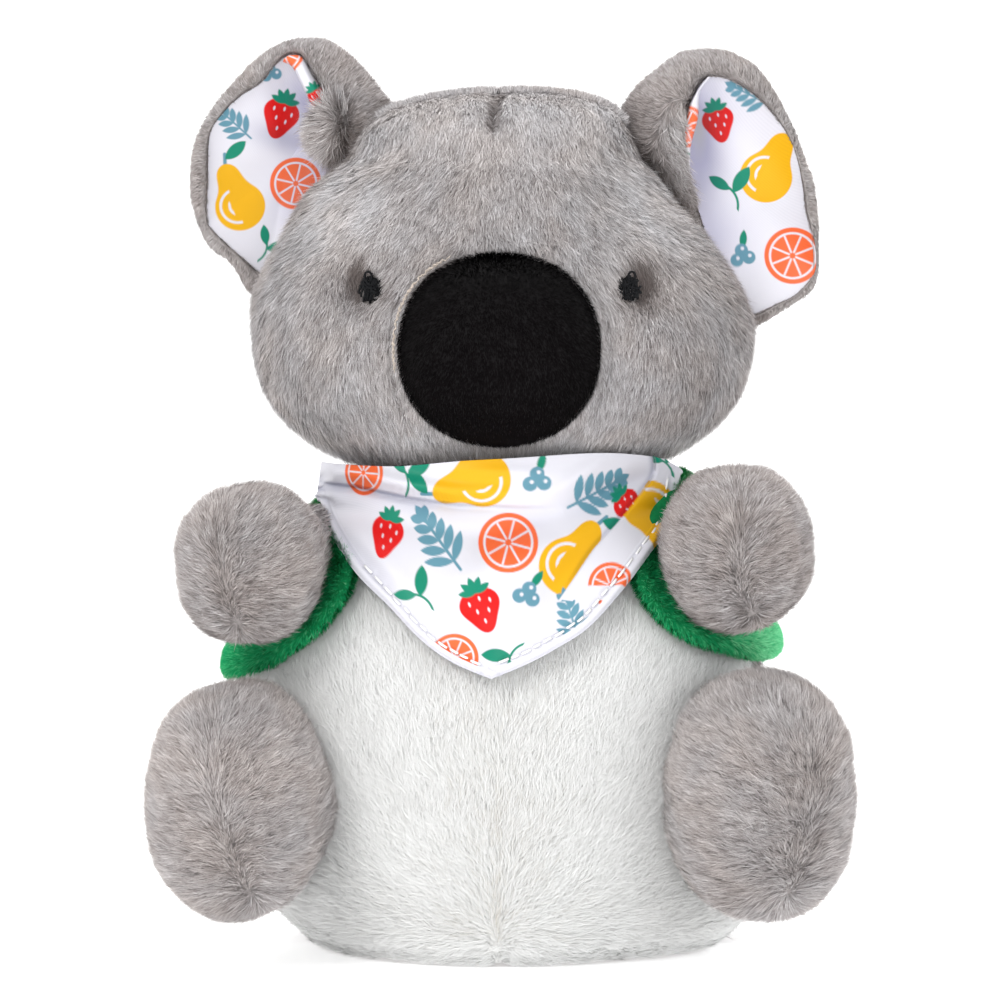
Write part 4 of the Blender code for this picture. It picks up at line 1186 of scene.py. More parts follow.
# beyond the stitches the hem's own layer is plain
edge_band = np.maximum(step(7.5, 6.5, dl), step(8.5, 7.5, dr)) * (1 - strip)
paint = paint * (1 - edge_band[:, None]) + np.array(PALE) * edge_band[:, None]
# painted shade: the folds, a shadow along the folded strip's border, the puckers at the stitch rows and the rolled-back
# edges darken the print
loss = bandana_shade(pp[:, 0], pp[:, 1]) + 0.30 * fade * np.exp(-((ds + 2.2) / 2.4) ** 2) + 0.09 * row
loss = loss + 0.10 * np.exp(-(np.minimum(dl, dr) / 2.0) ** 2)
paint = paint * (1 - np.clip(loss, 0, 0.6)[:, None] * np.array([1.0, 0.97, 0.80]))
at_edge = (np.minimum(np.minimum(dl, dr), edge_distance(pp[:, 0], pp[:, 1], curve(B_TOP, 20))) < 12)[bt].any(1)
vv, ff, from_ = hemmed(band_v, bt, normals(band_v, bt), 0.55, at_edge)
bandana = mesh("bandana_print_cloth", vv, ff, SATIN, "torso", paint=paint[from_])
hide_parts("bandana_cloth")

# running stitch along both hems
stitches = []


def lift_side(px, py):
    d = edge_distance(px, py, curve(S_LINE, 40))
    return np.where(inside_poly(px, py, poly), d, -d)


def stitch_row(line, inset, pitch=13.0, gap=4.2):
    pts = curve(line, 400)
    seg = np.hypot(*np.diff(pts, axis=0).T)
    s = np.concatenate([[0], np.cumsum(seg)])
    tan = unit(np.gradient(pts, axis=0))
    nrm = np.stack([tan[:, 1], -tan[:, 0]], -1)
    mid_px = np.array([500.0, 540.0])
    if ((mid_px - pts.mean(0)) @ nrm.mean(0)) < 0:
        nrm = -nrm
    pts = pts + nrm * inset
    rr = np.random.default_rng(9)
    q = 5.0
    while q + pitch < s[-1]:
        ln = pitch * rr.uniform(0.85, 1.15)
        ss = np.linspace(q, q + ln - gap, 7)
        px_ = np.interp(ss, s, pts[:, 0]) + rr.normal(0, 0.4)
        py_ = np.interp(ss, s, pts[:, 1]) + rr.normal(0, 0.4)
        x, y, z = on_bandana(px_, py_)
        lift = 0.75 * step(-1.5, 2.5, lift_side(px_, py_)) * step(604, 560, py_)
        y = y - bandana_folds(px_, py_) - lift - 0.42 - 0.50 * np.sin(np.linspace(0, 1, 7) * math.pi) ** 0.7
        stitches.append(tube(np.stack([x, y, z], -1), 0.30, 8))
        q += ln


stitch_row(B_RIGHT[1:], 12)
stitch_row(B_LEFT[4:], 10)
sv, sf = join(stitches)
st = solid("bandana_hem_stitches", sv, sf, WHITE_THREAD, "torso", ["bandana_hem_thread"])

# the ends of the bandana go on round the neck as a soft roll, to a knot behind
NR, NS = ((420, 44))
ring_a = np.linspace(math.radians(56), math.radians(304), NR)
behind_ = step(math.radians(75), math.radians(130), ring_a) * step(math.radians(285), math.radians(230), ring_a)
rx, ry = 42.6, 41.0 - 2.2 * behind_
path = np.stack([np.sin(ring_a) * rx, -1.0 - np.cos(ring_a) * ry, 114.6 - 2.4 * behind_ + 0.5 * np.sin(ring_a * 5)], -1)
v, f = tube(path, 1.0, NS)
k = NR * NS
ringi = np.arange(k) // NS
d = v[:k] - path[ringi]
out_ = unit(path * np.array([1, 1, 0]) + np.array([0, 1.0, 0]))[ringi]
dr, dz_ = (d * out_).sum(1), d[:, 2]
th_ = np.arctan2(dz_, dr)
fold_ = 1 + 0.10 * np.sin(th_ * 5 + ringi * 0.021) + 0.05 * np.sin(th_ * 9 - ringi * 0.05 + 2)
hw = (1.9 + 1.0 * behind_)[ringi] * fold_
hh = (3.6 + 2.0 * behind_)[ringi] * fold_
v[:k] = path[ringi] + out_ * (np.cos(th_) * hw)[:, None] + np.array([0, 0, 1.0]) * (np.sin(th_) * hh)[:, None]
uu = np.concatenate([ring_a[ringi], ring_a[[0, -1]]]) * 43
cl = Cloth(uu % 76 - 38, v[:, 2] - 113.0)
for i, x in enumerate(range(-36, 38, 15)):
    (cl.slice if i % 2 else cl.strawberry)(x + 3.0, (1.6, -1.4)[i % 2], x * 20, 1.05)
    cl.twin(x + 10.5, (-1.0, 1.2)[i % 2], x * 33, 0.8)
# painted shade in the roll's pleats, where its section is drawn in
cl.c = cl.c * (1 - 0.16 * np.clip(1.05 - np.concatenate([fold_, [1, 1]]), 0, 0.2)[:, None] / 0.2)
roll = mesh("bandana_neck_roll", v, f, SATIN, "torso", paint=cl.c)
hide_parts("bandana_neckband")


def knot_piece():
    parts, paints = [], []
    d, t = sphere_net(96, 64, "Z")
    p = d * np.array([6.8, 4.4, 5.2]) * (1 + 0.10 * np.sin(np.arctan2(d[:, 2], d[:, 0]) * 3 + d[:, 1] * 3))[:, None]
    p = p + np.array([0, 45.4, 112.5])
    parts.append((p, outward(p, t, p.mean(0))))
    for s in (-1, 1):
        u, w, t = grid_net(44, 60)
        half = 2.0 + 5.4 * w
        x = s * (4 + 13.0 * w) + (u - 0.5) * half * 2 * 0.5
        z = 111.0 - 12 * w + (u - 0.5) * half * 1.5 * s * -0.4 - 3 * w * w
        y = 47.0 + 3.5 * np.sin(w * 2.2) + 0.9 * np.sin(u * 9 + w * 3)
        p = np.stack([x, y, z], -1)
        n = normals(p, t)
        parts.append(thicken(p, t, n, 0.5))
    v, f = join(parts)
    c = Cloth(v[:, 0] * 1.1, v[:, 2] - 104)
    for i, (x, y) in enumerate(((-13, 0), (-6, 8), (3, 7), (12, 1), (17, -5), (-18, -6))):
        (c.slice if i % 2 else c.strawberry)(x, y, i * 50, 0.62)
    ob = mesh("bandana_back_knot", v, f, SATIN, "torso", paint=c.c)
    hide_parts("bandana_knot")


knot_piece()

# ------------------------------------------------------------- torso's pile
B_OUT = np.vstack([curve(B_TOP, 40), curve(B_RIGHT, 60), curve(B_LEFT, 60)[::-1]])


def view_px(p):
    d = p - CAM
    dep = d @ CAM_F
    k = CAM_D / PX
    return 500 + k * d[:, 0] / dep, 500 - k * (d @ CAM_U) / dep


def belly_len(p, n):
    px, py = view_px(p)
    ln = np.full(len(p), 5.8)
    under = inside_poly(px, py, B_OUT) & (p[:, 1] < -20)
    far = edge_distance(px, py, B_OUT[::6])
    ln = np.where(under, np.where(far > 14, 3.0, 4.2), ln)
    ln = ln * (1 - 0.30 * step(62, 74, np.abs(np.degrees(np.arctan2(p[:, 0], -p[:, 1])))))
    return ln * (1 - 0.42 * step(10, 3, p[:, 2]))


def belly_lean(p, n):
    return 68 + 4 * step(20, 5, p[:, 2])


def comb_belly(p, n):
    """Upright above, fanning out and up from the seam lower down."""
    x, z = p[:, 0] + 0.6, p[:, 2]
    a = np.radians(np.interp(z, [2, 6, 10, 16, 24, 36, 50, 90], [108, 96, 82, 60, 41, 22, 7, 2]))
    a = a * np.tanh(np.abs(x) / np.interp(z, [2, 10, 24], [1.3, 2.0, 3.5]))
    a = a * (0.55 + 0.45 * np.maximum(np.tanh(np.abs(x) / 22.0), step(17, 6, z)))
    t = np.stack([np.sign(x) * np.sin(a) + x * 0.004, np.zeros(len(p)), np.cos(a)], -1)
    # at the foot of the belly it spreads on what it sits on
    k = (step(11, 3, z) * step(7, 28, np.abs(x)))[:, None]
    out = unit(np.stack([x, p[:, 1], np.zeros(len(p))], -1)) + np.array([0, 0, -0.75])
    return t * (1 - k) + out * k


def comb_back(p, n):
    k = step(9, 2, p[:, 2])[:, None]
    out = unit(np.stack([p[:, 0], p[:, 1], np.zeros(len(p))], -1))
    # beside the belly it is brushed back
    side = (0.8 * step(120, 92, np.abs(np.degrees(np.arctan2(p[:, 0], -p[:, 1])))) * step(17, 5, p[:, 2]))[:, None]
    out = out * (1 - side) + np.array([0, 1.2, 0.1]) * side
    k = np.maximum(k, side)
    return np.stack([p[:, 0] * 0.004, np.zeros(len(p)), np.full(len(p), -1.0)], -1) * (1 - 0.8 * k) + out * k


def belly_keep(p, n):
    px, py = view_px(p)
    under = inside_poly(px, py, B_OUT) & (p[:, 1] < -20) & (edge_distance(px, py, B_OUT[::6]) > 45)
    return ~under


def belly_tone_and_painted_light(p, n):
    phi = np.abs(np.degrees(np.arctan2(p[:, 0], -p[:, 1])))
    x, z = p[:, 0], p[:, 2]
    seam = np.exp(-((x + 0.4) / 1.3) ** 2) * step(58, 40, z) * (p[:, 1] < 0) * (0.7 + 0.3 * Wave(5.0, 305)(p))
    spot = np.exp(-(((x + 1.0) / 1.3) ** 2 + ((z - 14.5) / 1.6) ** 2)) + 0.8 * np.exp(-(((x + 0.6) / 0.9) ** 2 + ((z - 9.5) / 1.2) ** 2))
    # painted shade darkens the middle of the belly and painted light lightens its foot; it is also a little darker
    # towards the sides
    mid_ = 0.25 * np.exp(-(x / 30.0) ** 2) * (1 - 0.35 * step(30, 8, z)) + 0.10 * step(30, 8, z)
    return -0.11 * seam - 0.22 * spot * (p[:, 1] < 0) - mid_ + 0.16 * step(9, 3, z) - 0.05 * step(60, 76, phi) + 0.03 * Wave(8.0, 306)(p)


used, ff = pick(tv_all, tt, is_front)
pile("belly_pile", tv_all[used], ff, "torso", WHITE, 12.5, belly_len, belly_lean, comb_belly, 41,
     keep=belly_keep, tint=0.57, tint_by=belly_tone_and_painted_light, width=0.14, clump=0.14, wave=5.0, parts=3, swirl=0.34,
     spread=0.105, low=0.12, flat=0.93, jitter=0.36, stray=0.05, tuft=12, under=0.0)
used, ff = pick(tv_all, tt, ~is_front & ~is_base)
# painted light: the grey pile low beside the belly, where it is brushed back, is lightened
pile("back_pile", tv_all[used], ff, "torso", GREY, 3.2, 5.2, 66, comb_back, 51, width=0.39, tint=0.54, wave=9.0, low=0.15,
     tint_by=lambda p, n: 0.28 * step(112, 90, np.abs(np.degrees(np.arctan2(p[:, 0], -p[:, 1])))) * step(16, 8, p[:, 2]))

filling("torso_filling", lambda d: np.clip(torso_form(d, -7.0), [-99, -99, 24.0], [99, 99, 106.0]), "torso", "torso_stuffing")
filling("neck_filling", lambda d: np.array([0, 0, 111.5]) + d * np.array([12.3, 12.3, 5.6]), "neck", "neck_stuffing", 0.2)
# the plush gathered in at the neck, under the head
nd_, nt_ = sphere_net(96, 60, "Z")
nv_ = np.array([0, 3.5, 112.5]) + np.sign(nd_) * np.abs(nd_) ** np.array([1, 1, 0.55]) * np.array([28.5, 27.5, 8.6])
nv_ = nv_ + np.stack([nd_[:, 0], nd_[:, 1], 0 * nd_[:, 0]], -1) * (0.5 * np.sin(np.arctan2(nd_[:, 1], nd_[:, 0]) * 22))[:, None]
nt_ = outward(nv_, nt_, nv_.mean(0))
solid("neck_gather_backing", nv_, nt_, GREY_SKIN, "neck", [])
pile("neck_gather_pile", nv_, nt_, "neck", GREY, 5.0, 3.6, 64, comb_back, 52, width=0.34, tint=0.52, wave=9.0,
     keep=lambda p, n: (p[:, 1] > -12) & (np.abs(n[:, 2]) < 0.8))
pb = sphere_net(64, 40, "Z")
pv_ = np.array([0, -1, 12.2]) + pb[0] * np.array([39, 35, 8.9])
pv_ = pv_ + unit(pb[0]) * (0.5 * Wave(5.0, 8)(pv_))[:, None]
solid("pellet_sack", pv_, outward(pv_, pb[1], pv_.mean(0)), COTTON, "torso", ["pellet_bag"])


# --------------------------------------------------------------------- limbs
def make_limb(form, body, side, seed, off, length, tone_off, seam, nodes):
    """seam: heights and sideways places of the seam down the front, from the middle."""
    d, t = sphere_net(88, 64, "Y")
    c, half = form.c, form.half
    zs, xs = np.array(seam).T

    def from_seam(p):
        return p[:, 0] - c[0] - np.interp(p[:, 2] - c[2], zs, xs)

    def shape(dd, o):
        p = form.hit(dd, o)
        n = unit(p - c)
        h = -0.15 * np.exp(-(from_seam(p) / 1.5) ** 2) * step(0.2, -0.5, n[:, 1])
        h += 0.7 * Wave(17.0, seed + 60)(p)
        return p + n * h[:, None]

    v = shape(d, off)
    f = outward(v, t, c)
    m = v[f].mean(1)
    out = from_seam(m) * side > 0
    for nm, node, mask in (("outer", nodes[0], out), ("inner", nodes[1], ~out)):
        used, ff = pick(v, f, mask)
        skin(f"{body}_{nm}_backing", v[used], ff, GREY_SKIN, body, [node])

    def comb(p, n):
        """Out and up from the seam, down at the very bottom, back on the sides."""
        s = np.tanh(from_seam(p) / (9.0 if body == "leg_left" else 4.6 if body == "leg_right" else 3.6))
        dz = (p[:, 2] - c[2]) / half[2]
        up = 0.62 - 1.05 * step(-0.50, -0.95, dz) + 0.30 * step(0.45, 0.9, dz)
        ground = np.stack([s * (1 - 0.55 * step(0.5, 0.95, dz)), 0.30 * np.ones(len(p)), up], -1)
        return ground

    def tone(p, n):
        return tone_off - (0.02 if "leg" in body else 0.05) * np.exp(-(from_seam(p) / 1.3) ** 2) * (n[:, 1] < 0)

    def near_front(p):
        return p[:, 1] < c[1] + 6

    deep = TORSO.value(m, -4.0) < 1.0
    used, ff = pick(v, f, ~deep)
    pile(f"{body}_pile", v[used], ff, body, WARM, lambda q: np.where(near_front(q), 15.0, 3.9), length,
         lambda p, n: 50 + 14 * step(-0.75, -0.3, n[:, 1]) + 14 * step(-0.25, -0.75, n[:, 2]), comb, seed, tint=0.55,
         tint_by=tone, wave=3.2, swirl=0.46, clump=0.34,
         width=lambda p, n: np.where(near_front(p), 0.15, 0.32), spots=0.07 if body == "leg_left" else 0.13 if "leg" in body else 0.18, tuft=15, spread=0.21 if "leg" in body else 0.23, jitter=0.36,
         flat=0.68, stray=0.06)
    filling(f"{body}_filling", lambda dd: form.hit(dd, -4.6), body, nodes[2], 0.3, seed)


def limb_nodes(b):
    return [b + "_outer_panel", b + "_inner_panel", b + "_stuffing"]


make_limb(ARM_L, "arm_left", 1, 61, -2.1, 4.6, -0.11, [(-20, 5.2), (-15, 4.0), (-8.5, 1.4), (-1.5, -0.4), (11, -1.2), (20, -0.5)],
          limb_nodes("arm_left"))
make_limb(ARM_R, "arm_right", -1, 62, -2.1, 4.6, -0.07, [(-20, -1.0), (-13.2, -2.4), (-8.7, -3.7), (0.8, -7.0), (10.8, -8.3), (20, -5.0)],
          limb_nodes("arm_right"))
make_limb(LEG_L, "leg_left", 1, 63, -2.2, 4.8, 0.02, [(-30, 1.0), (-22, 5.8), (-17, 9.5), (-4, 14.0), (7.6, 15.4), (15, 16.0), (30, 9.0)],
          limb_nodes("leg_left"))
make_limb(LEG_R, "leg_right", -1, 64, -2.2, 4.8, 0.0, [(-30, 9.5), (-28, 8.7), (-16.5, 3.3), (-11, -0.2), (-1, -3.0), (17, -5.7), (30, -4.0)],
          limb_nodes("leg_right"))

# ---------------------------------------------------------------------- ears
# front view outlines, from the view; y is the depth plane that they are read on
EAR_Y = -2.0
EARS = {
    "ear_right": dict(shades=((277, 137, 30, 13, -15, 0.26), (304, 104, 10, 24, 25, 0.20)),
        centre=(285, 165), side=-1,
        outline=[(400, 112), (385, 96), (362, 68), (340, 48), (321, 39), (302, 38), (283, 42), (262, 54), (243, 72),
                 (226, 91), (211, 110), (199, 131), (192, 154), (190, 183), (192, 204), (199, 227), (209, 246),
                 (224, 257), (237, 272), (249, 292), (268, 296), (290, 268), (312, 232), (340, 200), (375, 168), (402, 136)],
        lining=[(329, 103), (326, 95), (314, 77), (302, 57), (287, 55), (274, 66), (261, 83), (241, 96), (224, 112),
                (210, 135), (208, 179), (207, 217), (213, 230), (237, 253), (262, 274), (270, 272), (283, 248),
                (302, 220), (326, 190), (334, 170), (326, 155), (316, 142), (313, 128), (320, 117)],
        strip=([(283, 62), (293, 68), (304, 90), (312, 106), (318, 119)],
               [(290, 55), (302, 57), (314, 77), (327, 95), (331, 106)]),
        crease=[(343, 100), (346, 122), (344, 150)], bunch=(327, 132), dent=3.2, fluff=[(330, 118), (322, 150)],
        fold=[(316, 100), (318, 130), (326, 160), (310, 200)],
        away=(-0.9, -0.5, -0.15)),
    "ear_left": dict(shades=((706, 150, 20, 38, 0, 0.26), (699, 122, 9, 20, 0, 0.20)),
        centre=(745, 190), side=1,
        outline=[(622, 112), (630, 96), (642, 82), (658, 69), (674, 57), (692, 50), (723, 50), (743, 58), (756, 66),
                 (772, 87), (784, 108), (796, 132), (806, 159), (814, 183), (818, 214), (819, 244), (818, 277),
                 (809, 293), (784, 310), (764, 322), (748, 326), (728, 300), (712, 272), (690, 236), (664, 196), (638, 158), (620, 132)],
        lining=[(700, 84), (711, 77), (727, 79), (743, 87), (760, 100), (776, 118), (788, 136), (796, 155), (802, 183),
                (806, 212), (814, 240), (816, 261), (813, 275), (796, 294), (776, 304), (754, 314), (738, 306),
                (727, 277), (713, 250), (705, 232), (699, 212), (690, 190), (682, 167), (679, 142), (682, 122), (690, 102)],
        strip=([(711, 77), (700, 92), (698, 118), (691, 146), (690, 172)],
               [(702, 82), (690, 102), (682, 122), (679, 142), (680, 168)]),
        crease=[(690, 100), (680, 140), (682, 178)], bunch=(679, 156), dent=0.0, fluff=[(684, 118), (674, 150), (681, 186)],
        fold=[(690, 110), (684, 150), (688, 200), (705, 235)],
        away=(0.65, -0.5, -0.75)),
}


def ear_print(name, x, z):
    c = Cloth(x, z)
    if name == "ear_right":
        todo = (("pear", -66.0, 187.0, 24, 2.0), ("strawberry", -54.8, 206.5, -18, 1.9), ("fern", -66.0, 204.5, 50, 1.5),
                ("slice", -51.0, 190.0, 10, 1.75), ("twin", -59.5, 173.5, -20, 1.5), ("berries", -57.0, 217.5, 10, 1.4))
    else:
        todo = (("pear", 67.5, 194.5, -22, 2.1), ("fern", 62.5, 211.5, 66, 1.5), ("strawberry", 54.5, 205.0, 14, 1.7),
                ("twin", 57.5, 186.5, 30, 1.8), ("slice", 73.0, 172.0, 0, 1.9), ("berries", 60.5, 172.0, 10, 1.7))
    for kind, px_, pz, rot, k in todo:
        getattr(c, kind)(px_, pz, rot, k)
    return c.c


def make_ear(body, spec, seed):
    s = spec["side"]
    cx, cz = at(*spec["centre"], EAR_Y)
    oz = np.array([at(a, b, EAR_Y) for a, b in spec["outline"]])
    lz = np.array([at(a, b, EAR_Y) for a, b in spec["lining"]])
    n = 168
    # both outlines as radius over the angle round one centre
    angs = np.arange(n) * 2 * math.pi / n

    def radial(poly, res=900):
        c = curve(poly, res, closed=True) - np.array([cx, cz])
        a = np.unwrap(np.arctan2(c[:, 1], c[:, 0]))
        if a[-1] < a[0]:
            c, a = c[::-1], a[::-1]
        a = np.maximum.accumulate(a)
        rr = np.hypot(c[:, 0], c[:, 1])
        a2 = np.concatenate([a - 2 * math.pi, a, a + 2 * math.pi])
        return np.interp(angs, a2 + 1e-9 * np.arange(len(a2)), np.tile(rr, 3))

    R_o, R_l = radial(oz), radial(lz)
    R_o = np.maximum(R_o - 0.75, 2.0)          # the pile makes up the rest
    R_l = np.minimum(R_l, R_o - 0.2)

    def cup(x, z):
        """Depth of the lining: forward at its rim, deep in the middle."""
        a = np.arctan2(z - cz, x - cx) % (2 * math.pi)
        q = np.hypot(x - cx, z - cz) / np.interp(a, np.concatenate([angs, [2 * math.pi]]), np.concatenate([R_l, R_l[:1]]))
        y = -1.9 + 5.0 * (1 - np.clip(q, 0, 1) ** 2.4) + 2.0 * np.clip(q - 1.0, 0, 0.06) / 0.06
        # it hollows further towards the fold
        fx, fz = at(*spec["bunch"], EAR_Y)
        y = y + 2.8 * np.exp(-(((x - fx) / 9.0) ** 2 + ((z - fz) / 15.0) ** 2)) * (1 - np.clip(q, 0, 1) ** 4)
        w = Wave(15.0, seed)(np.stack([x, z, z * 0], -1))
        return y + 0.45 * w * (1 - np.clip(q, 0, 1) ** 3)

    rings = int(26 / (0.22))
    ang_, rad_, tri = polar_net(int(n * (4)), rings)
    rl = np.interp(ang_ % (2 * math.pi), np.concatenate([angs, [2 * math.pi]]), np.concatenate([R_l, R_l[:1]]))
    x = cx + np.cos(ang_) * rad_ * (rl + 0.8)
    z = cz + np.sin(ang_) * rad_ * (rl + 0.8)
    lv = np.stack([x, cup(x, z), z], -1)
    tri = outward(lv, tri, np.array([cx, 60.0, cz]))
    # the hollow beside the fold gets little light
    fold = np.array([at(a, b, EAR_Y) for a, b in spec["fold"]])
    df = np.min([segment(lv[:, 0], lv[:, 2], fold[k], fold[k + 1])[0] for k in range(len(fold) - 1)], axis=0)
    shade = np.exp(-(df / 9.5) ** 2)[:, None] * np.array([0.34, 0.34, 0.24])
    for bx0, by0, rx0, ry0, rot, amount in spec["shades"]:
        mx, mz = at(bx0, by0, EAR_Y)
        c_, s_ = math.cos(math.radians(rot)), math.sin(math.radians(rot))
        dx, dz = (lv[:, 0] - mx) / 0.25, (lv[:, 2] - mz) / 0.25
        e = ((dx * c_ + dz * s_) / rx0) ** 2 + ((-dx * s_ + dz * c_) / ry0) ** 2
        shade = shade + (amount * np.exp(-e))[:, None] * np.array([1.0, 1.0, 0.78])
    # painted shade: the print is darkened beside the fold and in the listed places where the lining hollows
    lin_paint = ear_print(body, lv[:, 0], lv[:, 2]) * (1 - np.clip(shade, 0, 0.5))
    lin = mesh(f"{body}_satin_lining", lv, tri, SATIN, body, paint=lin_paint)
    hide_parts(f"{body}_lining")

    # plush: from under the lining's edge, forward over the rim, and round the back
    width = np.maximum(R_o - R_l, 0.3)
    front_rings, back_rings = 16, 22
    pts, info = [], []
    crease = np.array([at(a, b, EAR_Y) for a, b in spec["crease"]])
    fluff = np.array([at(a, b, EAR_Y) for a, b in spec["fluff"]])
    for i in range(front_rings):
        q = i / (front_rings - 1)
        r_ = R_l + 0.1 + (width - 0.1) * q
        xx, zz = cx + np.cos(angs) * r_, cz + np.sin(angs) * r_
        bulge = np.minimum(0.75 * width, 2.6 + 0.42 * np.maximum(width - 4, 0))
        yy = -1.9 + 2.4 * q ** 1.5 - 0.72 * bulge * np.sin(math.pi * q ** 0.8) ** 0.75
        pts.append(np.stack([xx, yy, zz], -1))
    edge_y = pts[-1][:, 1]
    for i in range(1, back_rings + 1):
        q = i / back_rings
        r_ = R_o * math.cos(q * math.pi / 2)
        xx, zz = cx + np.cos(angs) * r_, cz + np.sin(angs) * r_
        depth = 6.5 * math.sin(q * math.pi / 2) ** 0.8
        pts.append(np.stack([xx, edge_y * (1 - q) + 2.5 * q + depth, zz], -1))
    v = np.vstack(pts)
    rows = front_rings + back_rings
    i, j = np.meshgrid(np.arange(rows - 1), np.arange(n), indexing="ij")
    a, b = i * n + j, i * n + (j + 1) % n
    f = np.concatenate([np.stack([a, b, b + n], -1).reshape(-1, 3), np.stack([a, b + n, a + n], -1).reshape(-1, 3)])
    # the last ring is a point: weld it
    last = (rows - 1) * n
    f = np.where(f >= last, last, f)
    f = f[(f[:, 0] != f[:, 1]) & (f[:, 1] != f[:, 2]) & (f[:, 0] != f[:, 2])]
    v = v[:last + 1]
    # the fold's crease, and the bunch beside it
    cr = np.min([segment(v[:, 0], v[:, 2], crease[k], crease[k + 1])[0] for k in range(len(crease) - 1)], axis=0)
    fr = step(2.0, -1.0, v[:, 1])
    v[:, 1] += spec["dent"] * np.exp(-(cr / 1.5) ** 2) * fr
    bx_, bz_ = at(*spec["bunch"], EAR_Y)
    v[:, 1] -= 2.2 * np.exp(-(((v[:, 0] - bx_) / 5.0) ** 2 + ((v[:, 2] - bz_) / 6.5) ** 2)) * fr
    f = outward(v, f, np.array([cx, -2.0, cz]))
    nn = normals(v, f)
    back = skin(f"{body}_rim_and_back", v, f, GREY_SKIN, body, [f"{body}_back_panel"], 0.7)

    def comb(p, nrm):
        d = np.stack([p[:, 0] - cx, np.zeros(len(p)), p[:, 2] - cz], -1)
        rad = unit(d)
        d2 = np.min([segment(p[:, 0], p[:, 2], crease[k], crease[k + 1])[0] for k in range(len(crease) - 1)], axis=0)
        df_ = np.min([segment(p[:, 0], p[:, 2], fluff[k], fluff[k + 1])[0] for k in range(len(fluff) - 1)], axis=0)
        bun = np.exp(-(df_ / 5.5) ** 2) * (p[:, 1] < 1)
        away = np.tile(np.array(spec["away"]), (len(p), 1))
        if spec["dent"]:         # tufts run out from the crease
            away = away * 0.5 + unit(np.stack([p[:, 0] - crease[1, 0], np.full(len(p), -1.0), p[:, 2] - crease[1, 1]], -1))
        front = (p[:, 1] < 1)[:, None]
        lobe = np.stack([-0.35 * s * np.ones(len(p)), np.zeros(len(p)), 0.35 * np.ones(len(p))], -1)
        t = np.where(front, rad * 0.8 + np.array([[0, 0, -0.15]]) + lobe * 0.2, rad + np.array([[0, 0.25, -0.2]]))
        return t * (1 - bun)[:, None] + away * bun[:, None]

    def keep(p, nrm):
        return head_value(p, -3.0) > 1.0

    ang_tab = np.concatenate([angs, [2 * math.pi]])
    rl_tab = np.concatenate([R_l, R_l[:1]])

    def past_lining(p):
        """How far outside the lining's edge a point lies."""
        return np.hypot(p[:, 0] - cx, p[:, 2] - cz) - np.interp(
            np.arctan2(p[:, 2] - cz, p[:, 0] - cx) % (2 * math.pi), ang_tab, rl_tab)

    def ln(p, nrm):
        df_ = np.min([segment(p[:, 0], p[:, 2], fluff[k], fluff[k + 1])[0] for k in range(len(fluff) - 1)], axis=0)
        edge = 1 - 0.45 * np.exp(-(past_lining(p) / 1.2) ** 2) * (p[:, 1] < 1) * (1 - np.exp(-(df_ / 4.0) ** 2))
        return 2.5 * edge + 4.2 * np.exp(-(df_ / 4.2) ** 2) * (p[:, 1] < 0)

    def tone(p, nrm):
        d2 = np.min([segment(p[:, 0], p[:, 2], crease[k], crease[k + 1])[0] for k in range(len(crease) - 1)], axis=0)
        # painted shade: darker close to the head and along the crease
        near = (-0.20 if s < 0 else -0.32) * np.exp(-np.maximum(head_value(p, 0.0) - 1, 0) / 0.13) * (p[:, 1] < 1)
        df_ = np.min([segment(p[:, 0], p[:, 2], fluff[k], fluff[k + 1])[0] for k in range(len(fluff) - 1)], axis=0)
        return near - 0.14 * spec["dent"] * np.exp(-(d2 / 1.7) ** 2) * (p[:, 1] < 1) + 0.16 * np.exp(-(df_ / 3.5) ** 2) * (p[:, 1] < 0)

    def dens(m):
        return np.where(m[:, 1] < 1.5, 15.0, 6.0)

    pile(f"{body}_pile", v, f, body, WARM, dens, ln, 66, comb, seed, keep=keep, tint=0.47 if s < 0 else 0.50, tint_by=tone,
         wave=5.0, width=lambda p, n: np.where(p[:, 1] < 1.5, 0.155, 0.28), clump=0.24, jitter=0.28, spread=0.18)

    # long tangled strands that burst out of the fold
    def tuft_keep(p, nrm):
        df_ = np.min([segment(p[:, 0], p[:, 2], fluff[k], fluff[k + 1])[0] for k in range(len(fluff) - 1)], axis=0)
        return (df_ < (4.6 if s < 0 else 3.4)) & (p[:, 1] < 0) & (head_value(p, -1.0) > 1.0)

    # the tuft is darkened close to the head with painted shade
    pile(f"{body}_tuft_pile", v, f, body, WARM, lambda m: np.where(m[:, 1] < 1.0, 5.0, 0.0),
         lambda p, nrm: 6.6 if s < 0 else 5.6, lambda p, nrm: np.full(len(p), 54.0), comb, seed + 9, keep=tuft_keep,
         tint=0.76 if s < 0 else 0.60, width=0.16, clump=0.55, jitter=0.62, spread=0.32, swirl=0.6, wave=2.6, tuft=7, flat=0.6,
         tint_by=lambda p, nrm: -0.36 * np.exp(-np.maximum(head_value(p, 0.0) - 1, 0) / 0.10))

